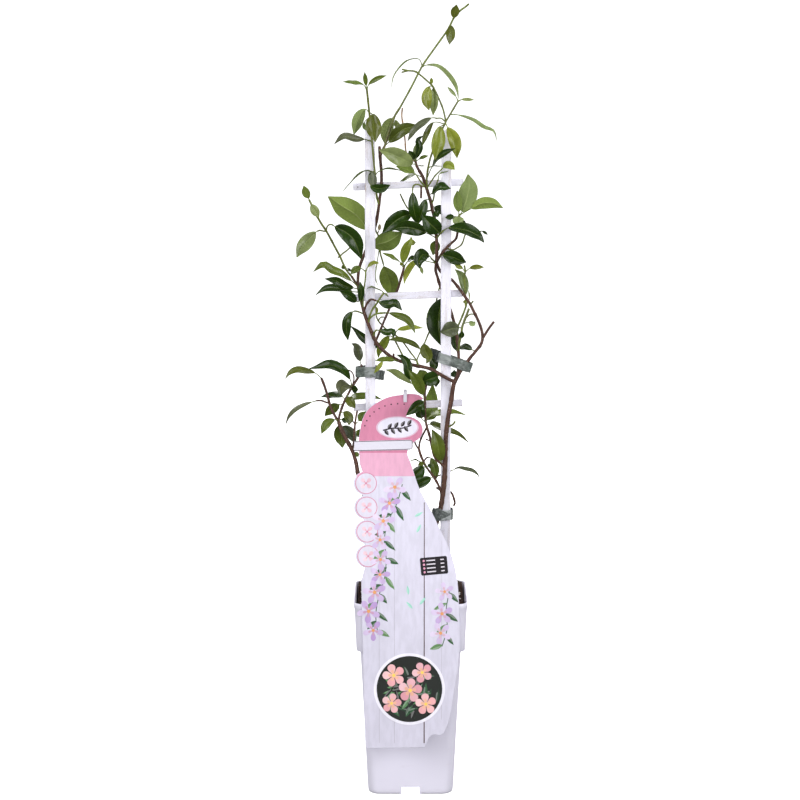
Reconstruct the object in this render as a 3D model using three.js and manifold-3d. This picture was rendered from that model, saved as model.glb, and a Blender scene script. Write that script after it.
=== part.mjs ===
// A star jasmine trained on a small white ladder in a square climber pot.
// Millimetres, +Z up, origin in the middle of the pot's foot, front at -Y.
import * as THREE from "three";
import { mergeVertices } from "three/addons/utils/BufferGeometryUtils.js";
import Module from "manifold-3d";

const wasm = await Module();
wasm.setup();

// ---- Driving dimensions ----
const GAP = 0.3;
const EYE = { x: -10.3, y: -2300, z: 710 };

const POT = {
  height: 193,
  footHalf: 41.4,
  shoulderHalf: 48.7,
  shoulder: 145,
  collarHalf: 52.5,
  collarTopHalf: 54.2,
  lip: 187,
  lipHalf: 55,
  wall: 1.5,
  corner: 10,
  floor: 2.4,
};
const CHANNEL = { width: 18, height: 8, roof: 1.8, hole: 3, spacing: 26, studRadius: 6 };
const SOIL = { level: 183, bump: 1.6, grid: 8 };
const STILE = { width: 10, depth: 8, foot: 110, top: 644, left: -39, right: 34 };
const RUNG = { length: 106, height: 7, depth: 5, y: 7, tilt: 2.5, middle: -2.5 };
const RUNG_HEIGHTS = { rung_bottom: 377, rung_middle: 484, rung_top: 591 };
const CARD = { thickness: 0.8, topZ: 384, topY: -5.6, lean: 14.73 };
const STRIP_THICKNESS = 0.6;
const TIE_THICKNESS = 0.9;
const BLADE = 0.7;
const BARK_CLEARANCE = 0.35;
const STEM_STEP = 13;

// Directions that a leaf's upper face can look.
const FRONT = [0, -1, 0];
const BACK = [0, 1, 0];
const UP = [0, 0, 1];
const UP_FRONT = [0, -1, 1];
const LEFT = [-1, -0.2, 0];
const RIGHT = [1, -0.4, 0];

// ---- Geometry helpers ----

// A point of the plant is written [x, z, y]: x and z where the line of sight from EYE crosses the
// ladder's own plane, y = 0, and then the point's true depth.
function seen([x, z, y]) {
  const reach = (y - EYE.y) / -EYE.y;
  return new THREE.Vector3(EYE.x + (x - EYE.x) * reach, y, EYE.z + (z - EYE.z) * reach);
}

function solidOf(geometry) {
  const bare = geometry.clone();
  bare.deleteAttribute("normal");
  bare.deleteAttribute("uv");
  const merged = mergeVertices(bare, 1e-4);
  return new wasm.Manifold(
    new wasm.Mesh({
      numProp: 3,
      vertProperties: new Float32Array(merged.attributes.position.array),
      triVerts: new Uint32Array(merged.index.array),
    }),
  );
}

function geometryOf(solid) {
  const mesh = solid.getMesh();
  const geometry = new THREE.BufferGeometry();
  geometry.setAttribute("position", new THREE.BufferAttribute(mesh.vertProperties, 3));
  geometry.setIndex(new THREE.BufferAttribute(mesh.triVerts, 1));
  geometry.computeVertexNormals();
  return geometry;
}

function union(solids) {
  return solids.reduce((all, next) => all.add(next));
}

// The largest body of a solid: what a cut leaves loose is dropped.
function largest(solid) {
  return solid.decompose().reduce((best, body) => (body.volume() > best.volume() ? body : best));
}

function box(width, depth, height, x, y, z) {
  return solidOf(new THREE.BoxGeometry(width, depth, height).translate(x, y, z));
}

// A closed skin over rings of equally many points, each ring anticlockwise seen from the last one.
function loft(rings) {
  const sides = rings[0].length;
  const indices = [];
  for (let i = 0; i + 1 < rings.length; i++) {
    for (let j = 0; j < sides; j++) {
      const a = i * sides + j;
      const b = i * sides + ((j + 1) % sides);
      indices.push(a, b, b + sides, a, b + sides, a + sides);
    }
  }
  const last = (rings.length - 1) * sides;
  for (let j = 1; j + 1 < sides; j++) {
    indices.push(0, j + 1, j);
    indices.push(last, last + j, last + j + 1);
  }
  const geometry = new THREE.BufferGeometry().setFromPoints(rings.flat());
  geometry.setIndex(indices);
  return solidOf(geometry);
}

function roundedSquare(half, z, corner = POT.corner, arcSteps = 3) {
  const ring = [];
  for (let quarter = 0; quarter < 4; quarter++) {
    const middle = quarter * 90 + 45;
    const centre = new THREE.Vector2(Math.cos(Math.PI / 4), Math.sin(Math.PI / 4))
      .multiplyScalar((half - corner) * Math.SQRT2)
      .rotateAround(new THREE.Vector2(), THREE.MathUtils.degToRad(quarter * 90));
    for (let step = 0; step <= arcSteps; step++) {
      const angle = THREE.MathUtils.degToRad(middle - 45 + (90 * step) / arcSteps);
      ring.push(
        new THREE.Vector3(centre.x + corner * Math.cos(angle), centre.y + corner * Math.sin(angle), z),
      );
    }
  }
  return ring;
}

function polygon(radius, sides) {
  const shape = new THREE.Shape();
  for (let i = 0; i < sides; i++) {
    const angle = (2 * Math.PI * i) / sides;
    const point = [radius * Math.cos(angle), radius * Math.sin(angle)];
    if (i === 0) shape.moveTo(...point);
    else shape.lineTo(...point);
  }
  return shape;
}

// A stem of one radius through written points.
function stem(radius, ...points) {
  return { radius, points: points.map(seen) };
}

function stemSolid({ radius, points }, extra = 0) {
  const path = new THREE.CatmullRomCurve3(points, false, "centripetal");
  const steps = Math.max(2, Math.ceil(path.getLength() / STEM_STEP));
  const section = polygon(radius + extra, radius > 1 ? 5 : 4);
  return solidOf(
    new THREE.ExtrudeGeometry(section, { steps, extrudePath: path, bevelEnabled: false }),
  );
}

// Where a blade's sections stand, as shares of its length, and how wide each is.
const BROAD_BLADE = [[0, 0.2], [0.27, 0.94], [0.7, 0.88], [1, 0.08]];
const SLIM_BLADE = [[0, 0.3], [0.35, 1], [0.75, 0.7], [1, 0.12]];
const BROAD_WIDTH = 8.5;
const FOLD = 0.16;
const STALK_HALF = 0.55;

// One leaf: written points from its root, through the foot of the blade, to the tip.
function leaf(width, face, ...points) {
  const rib = new THREE.CatmullRomCurve3(points.map(seen), false, "centripetal");
  const steps = points.length - 1;
  const lengths = rib.getLengths(steps * 12);
  const total = lengths[lengths.length - 1];
  const foot = lengths[12] / total;
  const broad = width >= BROAD_WIDTH;
  const blade = broad ? BROAD_BLADE : SLIM_BLADE;
  const stations = [{ at: 0, half: STALK_HALF }].concat(
    blade.map(([share, wide]) => ({
      at: foot + (1 - foot) * share,
      half: Math.max(STALK_HALF, (wide * width) / 2),
    })),
  );
  stations[stations.length - 1].half = STALK_HALF / 2;
  const centre = stations.map(({ at }) => rib.getPointAt(at));
  const along = stations.map(({ at }) => rib.getTangentAt(at));
  const up = new Array(stations.length);
  const middle = 3;
  up[middle] = new THREE.Vector3(...face).projectOnPlane(along[middle]).normalize();
  for (let i = middle - 1; i >= 0; i--) {
    up[i] = up[i + 1].clone().projectOnPlane(along[i]).normalize();
  }
  for (let i = middle + 1; i < stations.length; i++) {
    up[i] = up[i - 1].clone().projectOnPlane(along[i]).normalize();
  }
  const rings = stations.map(({ half }, i) => {
    const side = new THREE.Vector3().crossVectors(up[i], along[i]);
    const at = (across, height) =>
      centre[i].clone().addScaledVector(side, across).addScaledVector(up[i], height);
    const lift = broad ? FOLD * half : 0;
    const thick = BLADE / 2;
    if (!broad) return [at(-half, thick), at(-half, -thick), at(half, -thick), at(half, thick)];
    return [
      at(-half, lift + thick),
      at(-half, lift - thick),
      at(0, -lift - thick),
      at(half, lift - thick),
      at(half, lift + thick),
      at(0, -lift + thick),
    ];
  });
  return loft(rings);
}

// ---- Pot and soil ----

function potShell() {
  const outside = loft([
    roundedSquare(POT.footHalf, 0),
    roundedSquare(POT.shoulderHalf, POT.shoulder),
    roundedSquare(POT.collarHalf, POT.shoulder),
    roundedSquare(POT.collarTopHalf, POT.lip),
    roundedSquare(POT.lipHalf, POT.lip),
    roundedSquare(POT.lipHalf, POT.height),
  ]);
  return outside.subtract(cavity(0)).subtract(channels()).add(centreStud());
}

// The room inside the pot, drawn in by a clearance: a flat floor, with a raised cross over the
// drainage channels.
function cavity(clearance) {
  const wall = POT.wall + clearance;
  const slope = (POT.shoulderHalf - POT.footHalf) / POT.shoulder;
  const corner = POT.corner - wall;
  const floor = POT.floor + clearance;
  const ledge = POT.shoulder + wall;
  const room = loft([
    roundedSquare(POT.footHalf + slope * floor - wall, floor, corner),
    roundedSquare(POT.shoulderHalf - wall, ledge, corner),
    roundedSquare(POT.collarHalf - wall, ledge, corner),
    roundedSquare(POT.lipHalf - wall, POT.height + 1, corner),
  ]);
  const width = CHANNEL.width + 2 * (CHANNEL.roof + clearance);
  const height = 2 * (CHANNEL.height + CHANNEL.roof + clearance);
  const length = 4 * POT.lipHalf;
  return room.subtract(box(length, width, height, 0, 0, 0)).subtract(box(width, length, height, 0, 0, 0));
}

function channels() {
  const length = 4 * POT.lipHalf;
  const height = 2 * CHANNEL.height;
  const cuts = [
    box(length, CHANNEL.width, height, 0, 0, 0),
    box(CHANNEL.width, length, height, 0, 0, 0),
  ];
  const places = [[1, 0], [-1, 0], [0, 1], [0, -1]];
  for (const [x, y] of places) {
    const hole = new THREE.CylinderGeometry(CHANNEL.hole, CHANNEL.hole, 8, 8).rotateX(Math.PI / 2);
    hole.translate(x * CHANNEL.spacing, y * CHANNEL.spacing, CHANNEL.height);
    cuts.push(solidOf(hole));
  }
  return union(cuts);
}

// A round stud under the middle of the floor, where the channels cross, down to the ground.
function centreStud() {
  const height = CHANNEL.height + CHANNEL.roof / 2;
  const stud = new THREE.CylinderGeometry(CHANNEL.studRadius, CHANNEL.studRadius, height, 12);
  return solidOf(stud.rotateX(Math.PI / 2).translate(0, 0, height / 2));
}

// The soil fills the pot to a lumpy surface, with a plain hole round each foot that stands in it.
function soilBody(feet) {
  const side = 2 * POT.lipHalf;
  const block = new THREE.BoxGeometry(side, side, 2 * SOIL.level, SOIL.grid, SOIL.grid, 1);
  const position = block.getAttribute("position");
  for (let i = 0; i < position.count; i++) {
    if (position.getZ(i) < 0) continue;
    const x = position.getX(i);
    const y = position.getY(i);
    const lump = Math.sin(x / 9 + y / 17) + Math.sin(y / 7 - x / 23 + 2) + Math.sin((x + y) / 5);
    position.setZ(i, SOIL.level + (SOIL.bump * lump) / 2);
  }
  const ground = solidOf(block).intersect(cavity(GAP));
  return feet.reduce((left, foot) => left.subtract(foot), ground);
}

function footHole(radius, point) {
  const { x, y, z } = seen(point);
  const depth = 60;
  const hole = new THREE.CylinderGeometry(radius, radius, depth, 10).rotateX(Math.PI / 2);
  return solidOf(hole.translate(x, y, z + depth / 2 - 1));
}

// ---- Ladder ----

function stile(x, clearance = 0) {
  const grow = 2 * clearance;
  const height = STILE.top - STILE.foot;
  const z = (STILE.top + STILE.foot) / 2;
  return box(STILE.width + grow, STILE.depth + grow, height + grow, x, 0, z);
}

function rung(z, clearance = 0) {
  const grow = 2 * clearance;
  const bar = new THREE.BoxGeometry(RUNG.length + grow, RUNG.depth + grow, RUNG.height + grow);
  bar.rotateY(-THREE.MathUtils.degToRad(RUNG.tilt)).translate(RUNG.middle, RUNG.y, z);
  return solidOf(bar);
}

// ---- Ties: bands of soft tape round a stile and the stems beside it ----

// A band that follows a closed outline in plan, of the tape's thickness, turned about Y.
function band(outline, width, slant, [x, y, z]) {
  const shape = new THREE.Shape(outline.map(([px, py]) => new THREE.Vector2(px, py)));
  const middle = outline
    .reduce((sum, [px, py]) => sum.add(new THREE.Vector2(px, py)), new THREE.Vector2())
    .divideScalar(outline.length);
  const inner = outline.map(([px, py]) => {
    const out = new THREE.Vector2(px, py).sub(middle);
    const inset = out.length() - TIE_THICKNESS * 1.3;
    return out.setLength(inset).add(middle);
  });
  shape.holes.push(new THREE.Path(inner));
  const tape = new THREE.ExtrudeGeometry(shape, { depth: width, bevelEnabled: false });
  tape.translate(0, 0, -width / 2).rotateY(THREE.MathUtils.degToRad(slant)).translate(x, y, z);
  return solidOf(tape);
}

// A crumpled end of tape: a strip folded along a zigzag in plan.
function crumple(zigzag, width, slant, [x, y, z]) {
  const half = TIE_THICKNESS / 2;
  const there = zigzag.map(([px, py]) => new THREE.Vector2(px, py + half));
  const back = zigzag.map(([px, py]) => new THREE.Vector2(px, py - half)).reverse();
  const tape = new THREE.ExtrudeGeometry(new THREE.Shape([...there, ...back]), {
    depth: width,
    bevelEnabled: false,
  });
  tape.translate(0, 0, -width / 2).rotateY(THREE.MathUtils.degToRad(slant)).translate(x, y, z);
  return solidOf(tape);
}

function tieLeft() {
  const outline = [[-14, -7.7], [-8, -8.1], [6.8, -5.6], [6.8, 5.6], [-6, 5.6], [-14.2, -1.5]];
  const tail = [[5.6, -5.2], [8, -7.4], [10.2, -5.6], [12.4, -8.4], [13.4, -5.8]];
  return band(outline, 10, 0, [-39, 0, 411.2]).add(crumple(tail, 9.5, 6, [-39, 0, 409.4]));
}

function tieRight() {
  const outline = [
    [-7, -5.8], [3, -6.2], [14, -9.4], [22, -13.4], [26.5, -12.2],
    [26.7, -7], [12.6, -0.6], [7.8, 5.8], [-7, 5.8],
  ];
  const tail = [[-5.6, 5.2], [-8.4, 3.4], [-10.6, 5.8], [-13.6, 3.6], [-15.6, 5.4]];
  return band(outline, 9.6, 17, [33, 0, 423.4]).add(crumple(tail, 11.5, 17, [33, 0, 423.4]));
}

function tieBase() {
  const outline = [[-12.8, -12.2], [-3.4, -12], [7.2, -6.2], [7, 5.6], [-6.6, 5.6], [-13, -3.4]];
  return band(outline, 11, 0, [34, 0, 270]);
}

// ---- Label: a die-cut card that leans on the rim, its paper strip and the clip that holds it ----

// The card's outline, [x, z] like the plant's points: up the left edge with its four round bulges,
// over the arched top and down the right edge.
const CARD_BULGES = [[-44, 301], [-43.5, 277], [-43, 253], [-42, 228.5]];
const CARD_LEFT_FOOT = [[-44.7, 34.5], [-48.3, 204]];
const CARD_LEFT_HEAD = [
  [-49.5, 320], [-50.5, 343], [-49.5, 351], [-48, 360], [-45, 368], [-41, 374], [-35, 379],
  [-30, 382], [-24, 385], [-17, 387], [-10, 388], [-4, 389], [3, 389], [8, 388], [12.5, 384.5],
];
const CARD_RIGHT = [
  [5, 378], [0, 374], [-4.5, 367], [0, 366.5], [4, 365], [8, 362.5], [11, 358], [12, 354],
  [11, 349], [9, 345.5], [3, 341], [-3, 332], [1, 319], [8.5, 296], [20, 274], [28.5, 256],
];
const CARD_RIGHT_FOOT = [
  [39.3, 232], [45.6, 206], [47.8, 175], [48.4, 134], [44, 99], [37.2, 59.5], [31, 48.6], [21, 48],
  [14, 35.6],
];
const BULGE_RADIUS = 11.8;

// Where the line of sight through [x, z] meets the leaning card: u across it, v up it.
function onCard([x, z]) {
  const slope = Math.tan(THREE.MathUtils.degToRad(CARD.lean));
  const away = -EYE.y;
  const reach = (away + CARD.topY - slope * (CARD.topZ - EYE.z)) / (away - slope * (z - EYE.z));
  const height = EYE.z + (z - EYE.z) * reach;
  const up = (height - CARD.topZ) / Math.cos(THREE.MathUtils.degToRad(CARD.lean));
  return new THREE.Vector2(EYE.x + (x - EYE.x) * reach, up);
}

function bulge([x, z]) {
  return [-75, -45, -15, 15, 45, 75].map((degrees) => {
    const angle = THREE.MathUtils.degToRad(degrees);
    return [x - BULGE_RADIUS * Math.cos(angle), z + BULGE_RADIUS * Math.sin(angle)];
  });
}

// A sheet in the card's plane, from `near` to `near + thickness` in front of its middle.
function sheet(outline, thickness, near) {
  const shape = new THREE.Shape(outline.map(onCard));
  const board = new THREE.ExtrudeGeometry(shape, { depth: thickness, bevelEnabled: false });
  board.translate(0, 0, near).rotateX(THREE.MathUtils.degToRad(90 - CARD.lean));
  return solidOf(board.translate(0, CARD.topY, CARD.topZ));
}

function card() {
  const bulges = CARD_BULGES.map(bulge).reverse().flat();
  const outline = [...CARD_LEFT_FOOT, ...bulges, ...CARD_LEFT_HEAD, ...CARD_RIGHT, ...CARD_RIGHT_FOOT];
  return sheet(outline.reverse(), CARD.thickness, -CARD.thickness / 2);
}

function cardStrip() {
  const outline = [[-55, 332.5], [0, 334], [2.2, 336], [2.2, 342], [0.5, 344], [-55, 342.5]];
  return sheet(outline, STRIP_THICKNESS, CARD.thickness / 2 + GAP);
}

// A hooked clip: down the card's face, over its top edge and over the rung behind it.
function labelClip() {
  const hook = [
    [-8.4, 382], [-7.6, 392], [10.6, 392], [11.2, 374.5], [10.1, 374.5], [9.75, 383],
    [1, 390.4], [-6.2, 390.4], [-7.1, 382],
  ].map(([y, z]) => new THREE.Vector2(y, z));
  const bent = new THREE.ExtrudeGeometry(new THREE.Shape(hook), { depth: 3.4, bevelEnabled: false });
  bent.rotateX(Math.PI / 2).rotateZ(Math.PI / 2);
  return solidOf(bent.translate(-7, 0, 0));
}

// ---- The plant ----

// The old wood: the trunk, its two arms and their side stems.
const OLD_WOOD = [
  stem(2.5, [12, 164, -7], [12, 206, -7], [16, 231, -8], [23, 254, -8.4], [28.7, 274, -7.6],
    [31.5, 291, -7.1], [33, 306, -7.1], [33.8, 328, -7.1]),
  stem(2.2, [33.8, 325, -7.3], [34.3, 346, -7.1], [36, 363, -7], [37.7, 373, -7], [39.3, 382, -7],
    [40.7, 392, -7], [42.2, 400, -7.2], [44.5, 404.5, -7.8]),
  stem(1.7, [42.5, 399, -7.2], [45.5, 406, -8], [48.3, 411, -9], [52.5, 417, -10], [56, 422, -10],
    [60, 427.5, -9]),
  stem(1.5, [59.7, 426.5, -9.2], [63.5, 431.5, -8], [67.5, 436.5, -6], [69.5, 443, -4], [69, 449, -2.5],
    [67, 456, -1], [64, 463, 0], [60.5, 470, 1], [57, 477, 2], [52.5, 483.5, 1.5], [48, 489.7, 1.8],
    [44, 495, 4.6], [39.5, 500, 8], [34, 504, 8], [29, 507.5, 6.8], [26.5, 512, 4], [25, 516.5, 2]),
  stem(1.2, [69.3, 442.5, -4], [72.5, 448, -5], [76, 453.5, -7], [80.5, 459.5, -9]),
  stem(1.5, [45, 404, -8], [46.2, 414, -6.4], [46.4, 426, -6], [45.6, 436, -4.4], [44.5, 446, -1.5],
    [43, 454, 2], [41, 462, 6], [39, 469, 9.5], [34.5, 481, 12.6], [30.5, 489.5, 12.6], [28, 495, 10],
    [26, 502, 6], [24, 509, 3], [24.6, 518, 1.4]),
  stem(1.6, [24.6, 514, 1.6], [25, 526, 0], [25, 536, -0.5], [24.3, 546, -0.5], [23.3, 557, -1],
    [21, 566, -1], [19.5, 574, -1], [17, 582, -1.5], [14.5, 590, -2], [11.4, 599, -2], [7.5, 605.5, -2]),
  stem(1.3, [25, 517, 1], [26.8, 520.5, -4.8], [30, 525.5, -6.6], [36, 532.5, -6.6], [40, 536, -6.2],
    [43.5, 539.5, -5], [45, 546, -3], [46, 554, -1.5], [46.5, 562.5, 0]),
  stem(1.7, [43.8, 400, -7.4], [36, 404, -7.5], [29, 407.7, -7.6], [20, 413, -8.5], [12, 415.3, -8.5],
    [3, 417, -8], [-5, 419.3, -8], [-15, 423, -8], [-22, 427.5, -8], [-29, 434, -8], [-34, 440.5, -7.5],
    [-38, 449.5, -7], [-42, 460, -7], [-45.4, 469, -6.8]),
  stem(1.5, [-44.8, 467.5, -7], [-47, 476, -6.5], [-49, 485, -4], [-50.7, 494, -1], [-50.5, 505, 2],
    [-49, 513, 5], [-46.5, 520, 7.2], [-42, 531, 7.6], [-37.5, 542, 7.6], [-34, 551.5, 7.2],
    [-32.6, 558, 5], [-31, 568, 2.5], [-29.7, 578, 2], [-28.3, 588, 1.8], [-28, 601, 2], [-29, 614, 2],
    [-30, 628, 2]),
  stem(0.9, [-16.5, 422, -8], [-16.5, 428.5, -9.5]),
  stem(0.9, [-34.5, 442, -7.3], [-34.4, 436, -8.5]),
  stem(0.8, [36.5, 356.5, -7.2], [41, 359, -9], [43.5, 362.3, -10]),
  stem(0.6, [57.2, 475.5, 2], [60.5, 479.7, 1]),
];

const WOOD_STALKS = [
  stem(0.7, [20.5, 567, 0], [12, 565, 4], [3, 563.8, 2]),
  stem(0.6, [14.5, 589, -2], [10, 590.3, -6], [5, 591.7, -8], [2.2, 589.5, -8], [1.8, 585.5, -8]),
  stem(0.9, [10, 590.3, -6], [10, 586, -6.5], [9.8, 578, -7]),
  stem(0.6, [19.5, 572, -1], [21.7, 577, -4], [23, 586, -8], [26, 596, -10]),
  stem(0.8, [24.8, 539.5, -0.5], [27.6, 543.6, -5.4], [31.8, 547.7, -7.4]),
  stem(0.7, [24.4, 516, 1.4], [19.5, 520.8, -3]),
  stem(0.9, [-45, 470, -7], [-42, 477, -9], [-38, 481, -11], [-33, 479.6, -11]),
  stem(0.6, [-45.5, 467, -7], [-51, 469.2, -10], [-54.5, 469.8, -12.5]),
  stem(0.7, [-36, 444.5, -7.3], [-35, 449, -10], [-32.5, 451.7, -11]),
  stem(0.6, [14.5, 589.5, -2], [10.5, 593, -6], [6, 599.5, -9]),
  stem(0.6, [2, 563.6, 2], [-3.5, 569.5, 3], [-10.4, 582.8, 4]),
];

const WOOD_LEAVES = [
  leaf(14, FRONT, [24, 540.5, -0.5], [15, 545, -12], [2, 549.5, -18], [-8, 550.5, -14],
    [-17, 548.5, -9]),
  leaf(15, FRONT, [4, 563.8, 2], [1, 563.3, 1.3], [-7, 561, -5], [-17, 554.5, -7],
    [-27.5, 544.5, -5]),
  leaf(16, FRONT, [24.8, 539, -0.5], [27.3, 544.5, -7], [19, 553.5, -16], [10.5, 562.5, -16]),
  leaf(7, FRONT, [21, 566, -1], [23, 565.5, -4], [26.5, 560.5, -8]),
  leaf(8, FRONT, [20.3, 570, -1], [22.5, 570, 3], [29, 567, 13], [36, 562, 17]),
  leaf(10, FRONT, [24.8, 540, 0], [24.5, 538, 4], [23, 530, 9], [21.3, 523.5, 9]),
  leaf(10.5, FRONT, [1.8, 587, -8], [1.8, 584, -8], [2.5, 572, -10], [4, 563, -8],
    [6, 553.5, -2.6]),
  leaf(9.5, FRONT, [19.3, 576.5, -1], [15, 577, -5], [12, 569, -8], [7, 553.5, -5]),
  leaf(12, UP_FRONT, [17.5, 581, -1.5], [20, 583, -11], [28, 589, -19], [38.5, 587.5, -19]),
  leaf(5, UP, [26, 595, -10], [27.5, 601.5, -10], [36, 604.5, -6]),
  leaf(13, FRONT, [28, 522, -5.5], [31, 523.5, -10], [40, 522, -14], [47, 519, -14],
    [53.5, 516.7, -12]),
  leaf(12, UP_FRONT, [31, 547, -7], [36, 549.8, -11], [46, 549.5, -16], [57, 547, -21],
    [66, 541.5, -23], [70.7, 535.5, -21]),
  leaf(13, FRONT, [20, 520.3, -2.6], [18, 523, -5], [12, 524.5, -11], [8, 519, -14],
    [8.4, 510.8, -14]),
  leaf(3, FRONT, [8.3, 516, -14], [9.3, 513, -12], [11.7, 505.3, -9]),
  leaf(6, UP_FRONT, [23.8, 516, 1.6], [9, 518.5, 8], [3, 516, 10], [-2, 510, 8], [-5, 503, 6],
    [-6.3, 495.5, 4]),
  leaf(24, FRONT, [31.5, 487.5, 12.5], [30.5, 482, 14], [27, 463, 12], [27.5, 448, 9],
    [29.5, 436, 8]),
  leaf(14, FRONT, [28.5, 407.7, -8], [26.5, 406.5, -12], [19, 403.5, -17], [10.5, 400.5, -15]),
  leaf(8, FRONT, [24.3, 410.5, -8], [24.3, 413, -4.5], [22.7, 417.5, -1.6], [19.8, 424, -0.5]),
  leaf(7, FRONT, [27, 408.5, -7.8], [25, 405, -0.7], [24.6, 401, 8], [24.6, 395.5, 13]),
  leaf(7, FRONT, [43.5, 402.5, -7], [43, 405, -1.1], [42.5, 408, 7], [42, 412.5, 13]),
  leaf(7, UP_FRONT, [62.5, 430.5, -8], [59.5, 432, -4], [52, 435, 6], [43.5, 433.5, 14]),
  leaf(8, FRONT, [46.3, 428, -6], [44.5, 431, -0.1], [43, 441, 12], [42.6, 449, 17],
    [43, 456.5, 17]),
  leaf(10, UP_FRONT, [-34, 480, -11], [-31, 478.5, -11], [-22, 476, -13], [-15, 477, -15],
    [-8, 470, -13]),
  leaf(10, UP_FRONT, [-50.6, 493, -1.4], [-57, 499, -8], [-67, 506, -15], [-76, 509.5, -17],
    [-84, 514.5, -19], [-94, 507.5, -19]),
  leaf(9, FRONT, [-50.4, 491, -2], [-55, 492, -8], [-64, 494, -15], [-72, 499, -18],
    [-83, 501, -18]),
  leaf(9, UP_FRONT, [-50, 488, -3], [-56, 488.5, -3], [-68, 491.5, -1.2], [-82, 491.5, 2.4],
    [-92, 485, 4]),
  leaf(9, FRONT, [-48.4, 480, -5], [-52, 479, -11], [-60, 485, -18], [-68.5, 489, -19]),
  leaf(6, FRONT, [-46.8, 475, -6.5], [-48.4, 479, -13], [-47.6, 489, -16], [-48.8, 498.5, -16]),
  leaf(9, FRONT, [-53.5, 469.7, -12], [-56, 469, -13], [-61, 462, -17], [-62, 453, -17],
    [-60.5, 441, -14]),
  leaf(9, FRONT, [-33.5, 440, -6.8], [-30.5, 438, 5], [-36, 438, 24], [-46, 444, 24],
    [-53, 451, 22], [-58.5, 455.5, 20]),
  leaf(7, UP_FRONT, [-33.5, 451.2, -11], [-30, 451, -11], [-23, 449, -14], [-17, 449.5, -16],
    [-16.7, 443.5, -16]),
  leaf(6, UP_FRONT, [-11, 421.3, -8], [-15, 422, -12], [-25, 422.8, -15], [-34.5, 421.5, -15]),
  leaf(4, FRONT, [-22, 427, -8], [-27, 420.5, -17], [-31, 415, -22], [-35.5, 409, -22]),
  leaf(22, BACK, [-38, 542, 7.6], [-41, 548, 10], [-52, 562, 12], [-66, 571, 8], [-79.5, 580, 2.9]),
  leaf(19, BACK, [-40, 535.5, 7.6], [-37, 534, 10], [-27, 535.5, 8], [-18, 539, 5], [-8, 546, 2.9]),
  leaf(11, UP_FRONT, [7, 598.5, -9], [3, 602.3, -6], [-5, 606.5, -1], [-14.3, 609, 2]),
  leaf(7, UP_FRONT, [12, 597.5, -2], [5, 601, 8], [0, 600.5, 21], [-5, 597, 27], [-12, 593, 27]),
  leaf(19, BACK, [46.5, 562, 0], [49, 565, 1.5], [54, 579, 2.7], [56, 591, 2.7],
    [54.7, 601.5, 1.8]),
  leaf(11, FRONT, [46.5, 562, 0], [46, 561, -4], [45.5, 557, -8], [46.5, 551.5, -9]),
  leaf(9, BACK, [46.5, 561.5, 0], [46, 565, -1.5], [45.2, 573, -1.8], [44.5, 586, 0]),
  leaf(11.5, BACK, [46.6, 562, 0], [58, 568.3, 1.5], [68, 573.3, 4], [78, 573.5, 5],
    [88.8, 569, 5]),
  leaf(5, FRONT, [46, 560, -1], [41.5, 560.8, -7], [33, 559.8, -13]),
  leaf(4, FRONT, [46.5, 558.5, -1], [49, 557, -2.5], [52, 552.5, -5]),
];

// The low stem on the left, with a second one tied to the ladder, and their leaves.
const LOW_WOOD = [
  stem(2, [-22, 164, -9], [-22, 206, -9], [-27, 231, -13], [-36, 261, -17], [-45, 288, -20],
    [-51, 309, -19], [-53, 321, -17], [-55.5, 330, -15], [-59, 338, -13], [-64, 347, -11],
    [-67.5, 355, -9.5], [-70, 362, -8.5]),
  stem(1.3, [-69.7, 361, -8.5], [-74.5, 369.5, -5.8], [-78, 377, -2.8], [-80, 385, -0.2], [-82, 392, 1.4],
    [-84.3, 399, 3.1], [-86.5, 404.5, 4.8]),
  stem(1.2, [-70, 361, -8.5], [-69, 368, -8], [-66.5, 376, -7], [-64, 382, -6.5], [-60.5, 389, -6],
    [-57.5, 394.5, -5.5], [-54, 400, -5.5], [-50.4, 406, -5], [-48.4, 412, -4.2], [-47.4, 418, -3.2]),
  stem(0.8, [-56.5, 332.5, -14.5], [-55.5, 342, -14], [-54.6, 351, -13], [-54, 359, -12],
    [-53, 366, -11], [-51.7, 373, -10]),
  stem(0.5, [-54, 359, -12], [-56.7, 363.3, -11]),
  stem(0.5, [-56.3, 397, -5.5], [-54.9, 405, -8], [-57.5, 411, -9.5], [-62, 412.5, -10]),
  stem(0.7, [-78.8, 380, -1.6], [-82, 380.7, -3.6], [-86, 382.3, -4.4], [-92, 382.3, -4.6]),
];

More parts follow.
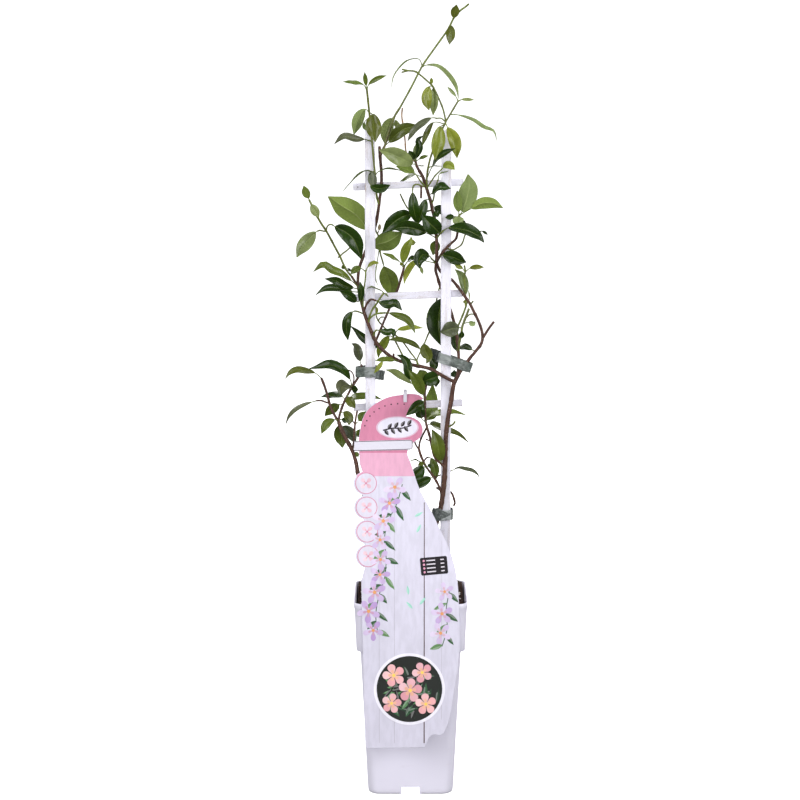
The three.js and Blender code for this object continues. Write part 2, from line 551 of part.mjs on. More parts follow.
const LOW_LEAVES = [
  leaf(7, UP_FRONT, [-86, 404, 4.6], [-92.5, 409.3, 6.5], [-101, 411.5, 7.3], [-110, 412.7, 8.2],
    [-116.5, 410, 8.8], [-121.7, 403.5, 8.3]),
  leaf(11, UP_FRONT, [-57, 396, -5.5], [-58.5, 403, -9], [-64.5, 411, -14], [-76, 417.5, -14.4],
    [-87, 416, -11.1], [-98.7, 413.5, -7.6]),
  leaf(14, FRONT, [-57, 396, -5.5], [-59, 397.5, -9], [-66, 396.5, -19], [-67.5, 387.5, -23]),
  leaf(9, UP_FRONT, [-63.5, 383, -6.5], [-66, 386, -1.3], [-76, 388, 11.6], [-87.3, 386, 18]),
  leaf(7, FRONT, [-58, 393.5, -5.5], [-57, 393.5, -9], [-50.7, 393.3, -13]),
  leaf(8, FRONT, [-61, 388, -6], [-61.5, 386, -10], [-58.5, 381.5, -15], [-53.6, 374.8, -16]),
  leaf(9, UP_FRONT, [-62, 386, -6.3], [-58.5, 384, 5], [-50, 386.5, 22], [-40, 387, 24],
    [-27.5, 383.5, 23]),
  leaf(9, UP, [-91, 382.3, -4.7], [-95, 381.3, -5.7], [-104, 378, -7], [-112, 373.5, -5.6],
    [-118, 367, -3.8], [-121.7, 357.8, -2.7]),
  leaf(10, FRONT, [-66, 378.3, -7], [-69, 378.8, -2.6], [-76, 374.5, 6.6], [-83.5, 367.3, 13.8]),
  leaf(8, UP_FRONT, [-70.5, 363, -8.3], [-73.5, 363.8, -11], [-80, 361, -13.2], [-84, 356, -14],
    [-86.7, 349.5, -13.2]),
  leaf(14, FRONT, [-69.5, 361, -8.5], [-69.5, 358.5, -3], [-67.5, 348, 1.4], [-66.2, 335.8, 1.4]),
  leaf(10, FRONT, [-68, 357, -9.2], [-65.5, 357.5, -4], [-58.5, 351, -3], [-53, 340, -9]),
  leaf(9, FRONT, [-68.4, 370.3, -7.8], [-65.5, 371, -10], [-60, 366.5, -12], [-59.8, 358, -14]),
  leaf(5, FRONT, [-69.5, 364, -8.4], [-67, 363.8, -10], [-60, 362.3, -14]),
  leaf(8, FRONT, [-54, 359, -12], [-50.5, 362.5, -9], [-47, 367, -8], [-43.5, 372, -7]),
  leaf(8, FRONT, [-54.7, 350, -13], [-53, 352, -12], [-45, 348, -9]),
  leaf(4, FRONT, [-56, 330.7, -15], [-54, 331.5, -15], [-50.5, 327, -18]),
  leaf(9, FRONT, [-48, 417, -3.2], [-48.8, 421, 7], [-50.5, 429, 13], [-53, 436, 14],
    [-57.2, 438.3, 14]),
];

// The leafy shoots: each one's stems, from its foot in the old wood, and its leaves.
const SHOOTS = {
  shoot_upper_left: {
    stems: [
      stem(1.2, [-50.7, 494, -1], [-53.5, 498, 2], [-57, 503.5, 5]),
      stem(0.9, [-56.6, 503, 4.8], [-60.5, 507.5, 7], [-64, 513.5, 7.5], [-68, 522.5, 5.9],
        [-72.5, 531, 2.4], [-77, 539.5, -2.1], [-81.3, 547.3, -6.5], [-85.5, 553.5, -10.6],
        [-89.5, 560.5, -13.9], [-92.5, 567, -16.1],
        [-95.5, 573, -17.2], [-97.5, 577, -17.9]),
      stem(0.6, [-81, 546.5, -6.4], [-80.3, 551, -9.2], [-77.5, 553.3, -11.6], [-74.3, 552.5, -13.5]),
      stem(0.6, [-81, 546.8, -6.4], [-84, 546.7, -4.4], [-87, 547.6, -3.6], [-90, 546.6, -3.4]),
      stem(0.6, [-70.3, 521.3, 6.1], [-68, 522.5, 5.9], [-66, 524.8, 6.5], [-62.5, 527.3, 7.1],
        [-58.5, 530.8, 6.4]),
    ],
    leaves: [
      leaf(7, FRONT, [-97, 576, -17.7], [-97.8, 578, -18.1], [-100.5, 584, -21.1], [-102.5, 590.5, -24.3]),
      leaf(7.5, FRONT, [-96, 574, -17.3], [-95.3, 572.5, -20.1], [-92.3, 567, -21.1], [-88, 559.7, -19.8]),
      leaf(16, FRONT, [-75.5, 553, -13.1], [-73, 551.3, -15.3], [-64.5, 547, -20.5], [-55, 539, -22],
        [-47.2, 519.5, -18.5]),
      leaf(13.5, FRONT, [-88.5, 547.2, -3.5], [-91, 546, -3.3], [-99, 537.5, -5.4], [-105.5, 529.5, -9.3],
        [-109.7, 521.3, -11.9]),
      leaf(3, FRONT, [-62.5, 511, 7.5], [-64, 510.5, 5], [-66.2, 514, 0.7]),
      leaf(4, FRONT, [-61.5, 509, 7.2], [-60, 509, 5], [-58, 510.5, 1.4]),
    ],
  },
  shoot_loop_left: {
    stems: [
      stem(0.6, [-46, 472, -7], [-45.9, 479, -9], [-45.7, 486, -8.5], [-44.6, 494, -7.6],
        [-43.5, 503, -7.6], [-43.4, 508.5, -8]),
    ],
    leaves: [
      leaf(6, FRONT, [-43.5, 508, -8], [-48, 511, -9], [-53, 510, -12], [-57.8, 505.3, -12]),
      leaf(4.5, UP_FRONT, [-43.4, 507.5, -8], [-41.5, 512, -8], [-36, 516.3, -10],
        [-29.8, 516, -8]),
    ],
  },
  shoot_node_left: {
    stems: [
      stem(0.8, [-40.8, 458, -7], [-39.5, 465, -10], [-37, 471, -9], [-33, 476.5, -6.5],
        [-30, 481.5, -6], [-26, 487, -6.5]),
      stem(0.7, [-40, 462, -9], [-36, 465.6, -11], [-33, 467, -11], [-24, 468, -11]),
    ],
    leaves: [
      leaf(6, UP, [-26, 487, -6.5], [-28, 489.3, -8], [-33, 492, -9], [-38, 493.3, -10],
        [-42.5, 491.5, -10]),
      leaf(5, UP, [-26.2, 486.7, -6.5], [-25, 486.8, -6], [-21.5, 483.5, -7]),
      leaf(7, UP_FRONT, [-25, 468, -11], [-21, 467.7, -11], [-13, 465.5, -12], [-6, 463, -13],
        [-1, 459, -14], [2, 453.5, -15], [4.5, 447.8, -15]),
    ],
  },
  shoot_centre: {
    stems: [
      stem(1.1, [-33.5, 441, -7.6], [-31, 447, -3], [-28.5, 453, -1], [-25.5, 460.5, 2], [-22, 468.5, 8],
        [-18.5, 477, 12], [-14.5, 486, 12.2], [-12, 492, 10], [-10, 499, 7], [-7.5, 508, 4],
        [-6.2, 513.7, 3]),
    ],
    leaves: [
      leaf(9, FRONT, [-6.5, 512.5, 3], [-7.2, 516, 0], [-6, 525, -6], [-3, 533, -10],
        [0.5, 539, -10], [0, 541.6, -8]),
      leaf(5, FRONT, [-3, 533.5, -3.8], [-1, 535.3, -4], [5, 536, -6]),
      leaf(5, UP_FRONT, [-6.3, 513, 3], [-11, 517.5, 1.5], [-18, 522, -2.4], [-27.5, 525.8, -6]),
      leaf(6, UP_FRONT, [-6.2, 513, 3], [-3, 517.5, -1.4], [1, 520.8, -4], [6, 520.5, -4]),
      leaf(3, FRONT, [-6.8, 512, 3], [-8.5, 513.5, 1.5], [-9.3, 517, -2.4]),
    ],
  },
  shoot_thin_centre: {
    stems: [
      stem(0.9, [7.3, 415.5, -8.5], [6.7, 419, -9.5], [5.6, 422.3, -9.5]),
      stem(0.6, [5.8, 421.5, -9.4], [3, 425.5, -7], [0, 429.3, -4.5], [-4, 435, -2], [-8, 440.3, 0],
        [-15, 446.5, 2], [-20, 449.5, 3], [-24, 452.3, 3.5], [-28, 456.5, 4.5], [-31.5, 460.5, 5],
        [-33.2, 465, 5.2]),
      stem(0.5, [-31.2, 460.2, 5], [-29, 463.6, 5], [-25.5, 463.8, 5]),
      stem(0.5, [5.8, 421.5, -9.3], [7.5, 426, -10], [9.7, 430.7, -10]),
      stem(0.5, [6, 421.3, -9.3], [2, 422.6, -11], [-1.5, 423.3, -11]),
    ],
    leaves: [
      leaf(3, FRONT, [-33, 464, 5.2], [-33.2, 467, 5], [-32.8, 471, 6], [-34, 474.5, 6]),
      leaf(7, UP_FRONT, [9.5, 430, -10], [9.5, 432, -10], [4, 437, -12], [-6, 441, -15],
        [-15, 442.3, -17], [-22.5, 441.3, -17]),
      leaf(6, UP_FRONT, [-15.3, 446.2, 2], [-13, 451, -1], [-6, 453, -5], [2, 454, -7],
        [12.3, 453.3, -7]),
    ],
  },
  shoot_short_centre: {
    stems: [
      stem(0.7, [-7, 419.5, -8], [-7.5, 425.5, -10.4], [-10, 431, -11], [-13.5, 438, -11],
        [-17, 444.5, -10]),
    ],
    leaves: [
      leaf(8.5, FRONT, [-16.8, 444, -10], [-20.5, 445.5, -6], [-26.5, 437, 1.7],
        [-30.5, 430.5, 2.6], [-31.2, 424, 2.6]),
    ],
  },
  shoot_hanging_left: {
    stems: [
      stem(0.7, [-34.6, 550, 7.2], [-33, 546, 10], [-31, 542, 12.5], [-29.8, 534, 13.4],
        [-29, 524.5, 9.5], [-27.5, 519.5, 7], [-26.3, 515, 5]),
    ],
    leaves: [
      leaf(18, FRONT, [-26.5, 516, 5.2], [-25.8, 513, 7], [-22, 503, 17], [-19, 492, 26],
        [-20, 482, 30]),
      leaf(3, FRONT, [-32, 544.3, 11], [-30.5, 547.5, 8], [-29.6, 554, 6]),
      leaf(6, LEFT, [-30, 531, 12], [-32, 519, 10], [-34.3, 506, 8], [-34, 501, 8],
        [-31.8, 494.3, 8]),
    ],
  },
  shoot_hanging_centre: {
    stems: [
      stem(0.6, [28.3, 494.3, 10.4], [26, 486, 16.5], [23, 468, 17], [18.7, 451.5, 13], [16, 445, 9],
        [13.3, 438, 5]),
    ],
    leaves: [
      leaf(8, FRONT, [13.6, 439, 5.4], [12.5, 437.8, 3], [14.5, 430.5, -4], [17.5, 423.5, -10],
        [15, 418.5, -10]),
    ],
  },
  side_branch_upper: {
    stems: [
      stem(1.2, [33.5, 317, -7.2], [29, 321, -10], [25, 324.5, -10.5], [22.7, 329, -10.5],
        [21, 336, -11], [19.5, 343, -11], [18, 349.5, -11], [16, 356, -12], [14.6, 363, -12],
        [13.8, 371, -12], [14, 378, -12], [13.7, 384, -12], [13.8, 391, -11], [15, 397, -8.5],
        [16.5, 402, -7]),
      stem(0.6, [13.7, 389, -11.4], [9, 394, -9], [3, 398, -7]),
      stem(0.6, [13.8, 391, -11], [8, 395, -11], [4, 399, -12]),
      stem(0.5, [19.6, 342.5, -11], [14.5, 344.7, -11.5]),
    ],
    leaves: [
      leaf(9, FRONT, [13.7, 384, -12], [12.2, 388, -15], [7, 400, -21], [2.5, 407, -23],
        [-2, 412.5, -23]),
      leaf(7, UP_FRONT, [4, 397.5, -7.3], [1, 399, -7], [-8, 405.5, -3], [-16, 410.5, 0.4],
        [-25, 412.7, 4]),
      leaf(8, FRONT, [4.5, 398.5, -12], [2, 402, -13], [-2.5, 410, -16], [-3, 418, -16],
        [-7.5, 424.5, -16], [-13.7, 427.3, -16]),
      leaf(6.5, FRONT, [14.8, 396, -9], [12.5, 401, -8], [11, 407, -4], [8.7, 412.6, 0]),
      leaf(12, FRONT, [14.6, 362.5, -12], [16.5, 363.5, 6], [18.8, 371, 33], [20.5, 386, 33],
        [21.5, 399.5, 26]),
      leaf(10, FRONT, [13.7, 382, -12], [12.5, 381.5, -16], [5, 376, -28], [-4.7, 367.5, -34]),
      leaf(9.5, FRONT, [15, 361, -12], [10.7, 365, -18], [9.5, 372, -25], [12.5, 380, -23]),
      leaf(7, UP_FRONT, [14.7, 363.5, -12], [19.5, 367.5, 2.8], [30, 370.5, 32], [42, 371.5, 35],
        [54.5, 368, 31]),
      leaf(10, UP_FRONT, [15.7, 357.5, -12], [18.5, 359.3, 1.3], [26, 357.5, 26], [36, 353.7, 30],
        [46, 350, 29], [57, 340.7, 22]),
      leaf(13, FRONT, [29.3, 320.8, -9.8], [29.6, 323, -12], [27.3, 334, -17], [25.5, 344, -17],
        [20.5, 354.5, -16]),
    ],
  },
  side_branch_lower: {
    stems: [
      stem(1.2, [30.8, 286, -7.6], [29, 294.5, -9], [26, 301.5, -10], [22, 307.7, -10.5],
        [18, 313.3, -11], [15, 317.5, -11], [12.5, 322.5, -11], [10.5, 327, -11.5], [8.8, 332, -12],
        [8, 335.5, -12]),
      stem(0.7, [8.1, 334.5, -12], [6, 337.5, -11.5], [4.3, 341, -11], [3.3, 347, -9]),
      stem(0.8, [8.1, 334.5, -12], [8.8, 341, -9], [10.5, 346, -7], [13.3, 351.5, -6.5],
        [15.5, 356, -6.5]),
      stem(0.7, [12.6, 322, -11], [15, 325.7, -7], [17.5, 327, -5]),
      stem(0.6, [22, 307.5, -10.5], [25.5, 307.5, -3], [26.8, 308.5, 6.5], [36, 311.5, 9.5],
        [40, 313.5, 9.5]),
      stem(0.9, [29, 294.5, -9], [26.2, 296, -2], [27, 296.5, 7.4], [35, 295.5, 8.8], [40, 291.5, 8.5],
        [42.3, 286, 7.5], [43.2, 281.5, 7], [42, 278.3, 7]),
    ],
    leaves: [
      leaf(6, UP, [12.6, 322, -11], [9.5, 322.3, -14], [5, 324.7, -16], [-0.5, 323, -16]),
      leaf(6, FRONT, [13.5, 320.5, -11], [12.5, 319.8, -14], [7, 319, -16]),
      leaf(12, FRONT, [15.3, 317, -11], [13.5, 317, -14], [7, 311, -20], [-2, 302, -24]),
      leaf(4, FRONT, [15, 317.5, -11], [16.5, 318, -12], [20.5, 318.7, -14]),
      leaf(10, FRONT, [22, 307.7, -10.5], [20, 306.5, -13], [11, 302, -19], [1, 295, -24]),
      leaf(8, FRONT, [17, 327, -5.2], [19.5, 326, -4], [22.5, 319, -5], [24, 313, -5],
        [25.2, 305, -5]),
      leaf(6, UP, [39, 313, 9.5], [41, 314, 10], [47, 316.6, 9], [54, 315.3, 5], [61, 313.3, 1.4],
        [65.5, 309.5, -0.4], [67.6, 305.3, -0.4]),
    ],
  },
  shoot_crown: {
    stems: [
      stem(1.3, [7.8, 605, -2], [5.5, 609.5, -2], [4.5, 614, -2]),
      stem(0.6, [4.5, 613, -2], [-1, 616.5, 0], [-4.5, 623, 1], [-5.5, 634, 2], [-7.2, 647, 3],
        [-8.6, 657, 3], [-8, 664.5, 3]),
    ],
    leaves: [
      leaf(16, FRONT, [5, 611, -2], [2, 611, -8], [-8, 616, -16], [-19, 621, -21],
        [-30.5, 624.5, -22]),
      leaf(6, FRONT, [4.5, 612.5, -2], [3.5, 615, -3], [-2, 624, -6]),
      leaf(6, FRONT, [4.7, 612.5, -2], [5.2, 616, -0.5], [8.5, 627, 3], [7, 634, 5], [12, 638, 5]),
      leaf(5, FRONT, [4.5, 613, -2], [4.3, 617, 1], [5.5, 631, 5]),
      leaf(5, UP, [6, 608.5, -2], [8, 609.5, 1], [13.5, 609.3, 5]),
      leaf(4, UP_FRONT, [4.8, 613.5, -2], [8, 615.5, 1], [13, 618, 3], [17, 619, 5]),
    ],
  },
  shoot_leader: {
    stems: [
      stem(1, [-29.3, 617, 2], [-27.3, 623.5, 2], [-25, 628, 1.8], [-22, 637, 3.2], [-18.7, 647, 4.8],
        [-15.6, 656, 6.2], [-10, 665, 7.7]),
      stem(0.8, [-10.5, 664.2, 7.6], [0, 683, 9.6], [11, 704, 11.9], [20, 717, 14], [28, 728, 16.8],
        [34.4, 737, 19.2], [38, 743.5, 21.2], [41, 749.5, 23.2], [47, 756, 24.2],
        [52, 759.5, 24.8], [55, 762.3, 25.2]),
    ],
    leaves: [
      leaf(6, FRONT, [38, 743, 21.2], [38, 741, 19.3], [37.5, 734, 16.1], [37, 725.8, 14.8]),
      leaf(4, FRONT, [40.5, 748, 22.5], [41.3, 750, 20.6], [43.6, 760.6, 16]),
      leaf(9, UP, [11, 703, 11.8], [8, 710, 11.9], [-2, 710, 7.9], [-12, 701.5, 4.5], [-17, 693, 3.2],
        [-18.6, 682.7, 1.5]),
      leaf(8, UP_FRONT, [11, 703, 11.8], [14, 704.5, 12], [25.5, 704, 9.9], [36, 695.5, 6.6],
        [43, 684.5, 3.8], [45.7, 671.7, 1.8]),
      leaf(12, BACK, [-15.8, 655.2, 6.1], [-18, 654.5, 10], [-23, 643, 15.2], [-24.5, 629, 12.9]),
      leaf(8, FRONT, [-18.6, 647, 4.8], [-16, 648, 2], [-10.5, 649.3, -1.8]),
      leaf(12, FRONT, [-24.8, 628.5, 1.8], [-21, 631.5, -1.7], [-8, 643.5, -6.8], [8, 647.8, -6.1]),
    ],
  },
  shoot_left_tall: {
    stems: [
      stem(0.9, [-30.4, 572, 2.3], [-32.3, 579, -3], [-33.5, 589, -5.8], [-34.2, 601, -6], [-35.3, 613, -6],
        [-36.5, 627, -6], [-37.8, 640, -5.8], [-39.5, 659, -9], [-40.5, 669, -12], [-42, 683, -17.6]),
    ],
    leaves: [
      leaf(11, BACK, [-39.7, 660, -9.4], [-43, 662.8, -10.5], [-49, 656, -7.8], [-54.5, 638.5, -3]),
      leaf(3, FRONT, [-39.3, 655.5, -8], [-44, 651, -8.8], [-44.5, 646, -8.8], [-42.5, 642.7, -10]),
      leaf(15, FRONT, [-39.5, 659.5, -9.2], [-37, 658.5, -12.8], [-35.5, 646, -16.8], [-33.8, 631.8, -19]),
      leaf(8, UP_FRONT, [-37.1, 632.5, -6], [-44, 634.5, -9], [-54, 635, -13], [-64, 637.5, -15],
        [-73.3, 629.8, -15]),
      leaf(8, UP, [-34.2, 600, -6], [-37, 603, -7], [-43, 605.3, -10], [-51, 600.5, -10],
        [-59, 592.5, -10], [-65.2, 584.8, -10]),
      leaf(7, UP, [-34.2, 600, -6], [-31.5, 603.3, -6], [-25, 606.8, -6], [-15, 606.3, -6],
        [-5.5, 604, -6]),
      leaf(5, FRONT, [-34.1, 598, -6], [-35.5, 600.5, -9], [-41, 598.8, -11]),
      leaf(13, FRONT, [-34.2, 600, -6], [-34, 596, -10], [-30, 589, -15], [-20, 588, -15]),
      leaf(9, FRONT, [-34, 596, -6], [-34, 592, -9], [-33, 586, -11], [-31, 579, -11]),
      leaf(6, UP, [-41.5, 679, -16], [-45, 686, -18.8], [-55, 688.3, -19.7], [-65, 689, -20]),
      leaf(3, FRONT, [-42, 681, -16.8], [-42.5, 685, -18.4], [-44, 698.3, -23.7]),
      leaf(3, FRONT, [-41.8, 680, -16.4], [-40.3, 686, -18.8], [-32, 692, -21.2], [-22.8, 695, -22.4]),
    ],
  },
  shoot_right_tall: {
    stems: [
      stem(0.8, [15.9, 585, -1.7], [15.3, 596, -5.5], [16, 604, -6.7], [19, 617.6, -9.7], [24, 631, -12.1],
        [30, 644, -15.1], [33.8, 652, -14.7]),
      stem(0.7, [33.5, 651.3, -14.7], [30.8, 663, -15.6], [28.3, 669.5, -16.1], [24, 679, -17.2],
        [20.3, 685.5, -18.6], [16.4, 689, -19.4], [8.8, 695.5, -20.8], [4, 698.7, -21.5],
        [-3.3, 699.5, -21.7], [-8.5, 700.8, -22]),
      stem(0.6, [-2.5, 699.3, -21.6], [-9, 697.8, -20.3]),
      stem(0.7, [33.5, 651.5, -14.7], [38, 659, -15.8], [42.5, 666.5, -17.4], [45.5, 671.5, -18.5]),
      stem(0.5, [33.3, 650.7, -14.7], [29, 654.4, -16.7], [24, 654.3, -18.7]),
      stem(0.6, [15.6, 588.5, -3], [19.8, 594.5, -8], [23, 599.5, -13], [29.6, 606, -15.1]),
    ],
    leaves: [
      leaf(10, FRONT, [20.5, 685, -18.5], [18.5, 683, -21], [14.5, 673, -22.8], [16, 662.7, -22.6]),
      leaf(5, FRONT, [20.8, 684.5, -18.4], [21, 682.5, -19.4], [22, 671, -19.4], [21.5, 657.8, -17.5]),
      leaf(3, FRONT, [20.3, 685, -18.5], [20, 687, -18.9], [19.4, 693, -20.2]),
      leaf(3, FRONT, [45, 670.5, -18.3], [43, 675, -19.3], [34.6, 684.6, -21.4]),
      leaf(3, FRONT, [45.3, 670.5, -18.3], [48, 672, -18.6], [60.5, 672, -18.6]),
      leaf(7, UP, [38.1, 658, -15.5], [44, 657.8, -16.5], [60, 652.8, -19.4], [70, 646, -19.9],
        [79, 642.5, -19.1], [82.4, 632.3, -16.9]),
      leaf(7, UP_FRONT, [25, 654.4, -18.2], [20, 654.8, -20.8], [12, 650.5, -23.9], [4, 644, -24.5],
        [-3.3, 632.3, -21.9]),
      leaf(5, FRONT, [32.5, 649, -14.9], [22, 650.5, -15.9], [15, 640, -19.6], [10.7, 627.5, -18.8]),
      leaf(13, FRONT, [32, 648, -14.9], [29, 647, -17.1], [26.5, 633, -20], [23, 614.8, -19]),
      leaf(12, FRONT, [33, 650, -14.8], [35, 646, -17.9], [42, 633, -20], [44.3, 616.3, -18.4]),
      leaf(8, UP_FRONT, [15.7, 598, -5.7], [20, 607.5, -12.4], [28, 619, -23], [43, 626, -27.5]),
      leaf(7, FRONT, [29, 605.5, -15], [31, 607.5, -15.4], [36, 610.3, -16], [42.2, 605.5, -15]),
      leaf(4, UP, [17, 607.5, -7.4], [22, 609.3, -10.8], [29.7, 609, -14.8]),
    ],
  },
  shoot_right_thin: {
    stems: [
      stem(0.6, [34, 530.5, -6.6], [40.4, 528.8, -5.6], [44.4, 530.7, -2.2], [48.5, 533.5, 1],
        [50.5, 537.5, 2], [52.5, 543.5, 3], [58, 546.5, 4], [67, 546.2, 5]),
    ],
    leaves: [leaf(3, UP_FRONT, [66, 546.3, 5], [68.5, 546.8, 5], [74, 543.3, 3])],
  },
  shoot_right_mid: {
    stems: [
      stem(0.8, [44.7, 446, -1.6], [45.8, 455, -3.5], [48.3, 461, -3], [50.3, 466, -2], [52, 470.5, 2],
        [53.6, 476, 6], [53, 482.5, 7.5], [52.2, 492, 7.5], [51.7, 503, 6], [52.5, 508, 5],
        [51.6, 514, 5]),
    ],
    leaves: [
      leaf(8, RIGHT, [53, 481.5, 7.5], [52.8, 485, 9], [51.8, 495, 11], [48.8, 504, 11],
        [42.3, 510.3, 9]),
      leaf(3, FRONT, [53, 473.5, 4.5], [52.3, 477, 6], [52, 480.5, 6]),
      leaf(3, RIGHT, [53.5, 475.5, 6], [56.5, 481.5, 9], [55.8, 490, 11]),
      leaf(4, FRONT, [52.5, 507, 5], [50, 510.5, 4], [42, 514.5, 1.4]),
      leaf(4.5, FRONT, [52.5, 507.5, 5], [56.5, 510.8, 5], [63, 512.3, 3], [70.7, 512, 3]),
    ],
  },
  shoot_right_low: {
    stems: [
      stem(1.1, [46.3, 431, -7], [47.2, 440, -10], [49, 448, -10], [49.7, 454, -9.5], [51.7, 460, -9],
        [54, 466, -8], [56.3, 472.3, -7]),
      stem(0.5, [52.3, 461.5, -8.8], [57.3, 466.6, -7], [61, 466.5, -6]),
    ],
    leaves: [
      leaf(15, FRONT, [49.6, 453, -9.6], [47, 453.7, -12], [38, 452, -16], [28.5, 449, -18]),
      leaf(5, FRONT, [51, 457.5, -9.2], [56, 458.7, -9], [60, 457.5, -9], [62.5, 459.5, -9]),
      leaf(5, FRONT, [47.2, 439.5, -10], [48.5, 443, -11], [49.9, 450.5, -14]),
    ],
  },
};

// ---- Assembly ----

const PAINT = { color: 0xe9e6ee, roughness: 0.6, metalness: 0 };
const PLASTIC = { color: 0xe4e1f0, roughness: 0.45, metalness: 0 };
const EARTH = { color: 0x3a2a20, roughness: 0.95, metalness: 0 };
const GREEN = { color: 0x3d6121, roughness: 0.4, metalness: 0 };
const YOUNG_GREEN = { color: 0x6f8a35, roughness: 0.4, metalness: 0 };
const TAPE = { color: 0x59625f, roughness: 0.5, metalness: 0 };
const PRINTED_CARD = { color: 0xe8d5e4, roughness: 0.5, metalness: 0 };
const WHITE = { color: 0xf4f2f6, roughness: 0.5, metalness: 0 };

const YOUNG_SHOOTS = new Set([
  "shoot_upper_left",
  "shoot_loop_left",
  "shoot_right_tall",
  "shoot_right_mid",
  "shoot_right_thin",
  "shoot_leader",
]);

const plant = new THREE.Group();

function addPiece(name, solid, finish) {
  const mesh = new THREE.Mesh(geometryOf(solid), new THREE.MeshStandardMaterial(finish));
  mesh.name = name;
  plant.add(mesh);
}

addPiece("pot", potShell(), PLASTIC);
addPiece(
  "soil",
  soilBody([
    stile(STILE.left, GAP),
    stile(STILE.right, GAP),
    footHole(3.2, [12, 164, -7]),
    footHole(2.7, [-22, 164, -9]),
  ]),
  EARTH,
);
addPiece("stile_left", stile(STILE.left), PAINT);
addPiece("stile_right", stile(STILE.right), PAINT);
for (const [name, z] of Object.entries(RUNG_HEIGHTS)) addPiece(name, rung(z), PAINT);
addPiece("tie_left", tieLeft(), TAPE);
addPiece("tie_right", tieRight(), TAPE);
addPiece("tie_base", tieBase(), TAPE);
addPiece("label_card", card(), PRINTED_CARD);
addPiece("label_strip", cardStrip(), WHITE);
addPiece("label_clip", labelClip(), WHITE);

const oldWood = OLD_WOOD.map((part) => stemSolid(part));
const woodStalks = WOOD_STALKS.map((part) => stemSolid(part));
addPiece("old_stems", union([...oldWood, ...woodStalks, ...WOOD_LEAVES]), GREEN);
addPiece("low_stems", union([...LOW_WOOD.map((part) => stemSolid(part)), ...LOW_LEAVES]), GREEN);

// A shoot's foot is cut to the bark that it grows from.
const bark = union(OLD_WOOD.map((part) => stemSolid(part, BARK_CLEARANCE)));
for (const [name, { stems, leaves }] of Object.entries(SHOOTS)) {
  const grown = union([...stems.map((part) => stemSolid(part)), ...leaves]);
  const finish = YOUNG_SHOOTS.has(name) ? YOUNG_GREEN : GREEN;
  addPiece(name, largest(grown.subtract(bark)), finish);
}

export default plant;
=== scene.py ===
"""A star jasmine on a small white ladder in a square climber pot: its pieces and their stage.

The file is laid out as an add-on, with settings, operators and a panel. The pieces are worked out
in millimetres and made in metres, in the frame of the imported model.
"""

import math
import random

import bpy
import numpy as np
from bpy.props import FloatProperty, FloatVectorProperty, IntProperty, PointerProperty
from bpy.types import Operator, Panel, PropertyGroup
from mathutils import Matrix, Vector, noise


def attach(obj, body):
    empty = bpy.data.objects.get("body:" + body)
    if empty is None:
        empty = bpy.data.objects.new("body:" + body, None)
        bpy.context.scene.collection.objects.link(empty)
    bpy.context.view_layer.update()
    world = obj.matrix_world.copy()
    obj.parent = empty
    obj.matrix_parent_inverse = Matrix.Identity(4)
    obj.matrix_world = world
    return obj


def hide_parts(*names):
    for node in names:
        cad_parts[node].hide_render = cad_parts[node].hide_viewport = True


bl_info = {
    "name": "Potted star jasmine",
    "version": (1, 0, 0),
    "blender": (4, 5, 0),
    "location": "3D View > Sidebar > Jasmine",
    "description": "Builds a star jasmine on its ladder, with its pot, ties and label",
    "category": "Object",
}

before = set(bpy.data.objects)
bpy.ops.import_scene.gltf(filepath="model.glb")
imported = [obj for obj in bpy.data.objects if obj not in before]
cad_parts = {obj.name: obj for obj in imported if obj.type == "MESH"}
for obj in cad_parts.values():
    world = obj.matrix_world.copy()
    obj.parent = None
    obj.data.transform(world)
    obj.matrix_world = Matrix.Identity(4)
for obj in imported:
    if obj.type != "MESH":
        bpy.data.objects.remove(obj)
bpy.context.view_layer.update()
MM = 0.001
BODY = "root"

# The point from which the plant's points are read; all sizes below are in millimetres.
EYE = Vector((-10.3, -2300, 710))
AIM = Vector((-10.3, 0, 383))
LENS = 107.8
SENSOR = 36

# Pot and soil.
POT_HEIGHT = 193
FOOT_HALF = 41.4
SHOULDER = 145
SHOULDER_HALF = 48.7
COLLAR_HALF = 52.5
COLLAR_TOP_HALF = 54.2
LIP = 187
LIP_HALF = 55
WALL = 1.5
CORNER = 10
FLOOR = 2.4
# The rounded foot, as (distance out from FOOT_HALF, height).
FOOT_PROFILE = ((-3.4, 0), (-1.9, 0.35), (-0.75, 1.3), (-0.1, 3.0), (0.2, 5.4), (0.5, 10))
CHANNEL_WIDTH = 18
CHANNEL_HEIGHT = 8
CHANNEL_ROOF = 1.8
DRAIN_RADIUS = 3
DRAIN_SPACING = 26
STUD_RADIUS = 6
SOIL_LEVEL = 183
SOIL_BOTTOM = 12

# Ladder.
STILE_WIDTH = 10
STILE_DEPTH = 8
STILE_FOOT = 110
STILE_TOP = 644
STILE_PLACES = {"stile_left": -39, "stile_right": 34}
RUNG_LENGTH = 106
RUNG_HEIGHT = 7
RUNG_DEPTH = 5
RUNG_Y = 7
RUNG_MIDDLE = -2.5
RUNG_TILT = math.radians(2.5)
RUNG_LEVELS = {"rung_bottom": 377, "rung_middle": 484, "rung_top": 591}

# Label: the card leans from its top edge down and forward over the rim.
CARD_THICKNESS = 0.8
CARD_TOP_Z = 384
CARD_TOP_Y = -5.6
CARD_LEAN = math.radians(14.73)
STRIP_THICKNESS = 0.6
STRIP_GAP = 0.3
INK = 0.07
WHITE = (1, 1, 1)

# Directions that a leaf's upper face can look.
FRONT = Vector((0, -1, 0))
BACK = Vector((0, 1, 0))
UP = Vector((0, 0, 1))
UP_FRONT = Vector((0, -1, 1))
LEFT = Vector((-1, -0.2, 0))
RIGHT = Vector((1, -0.4, 0))

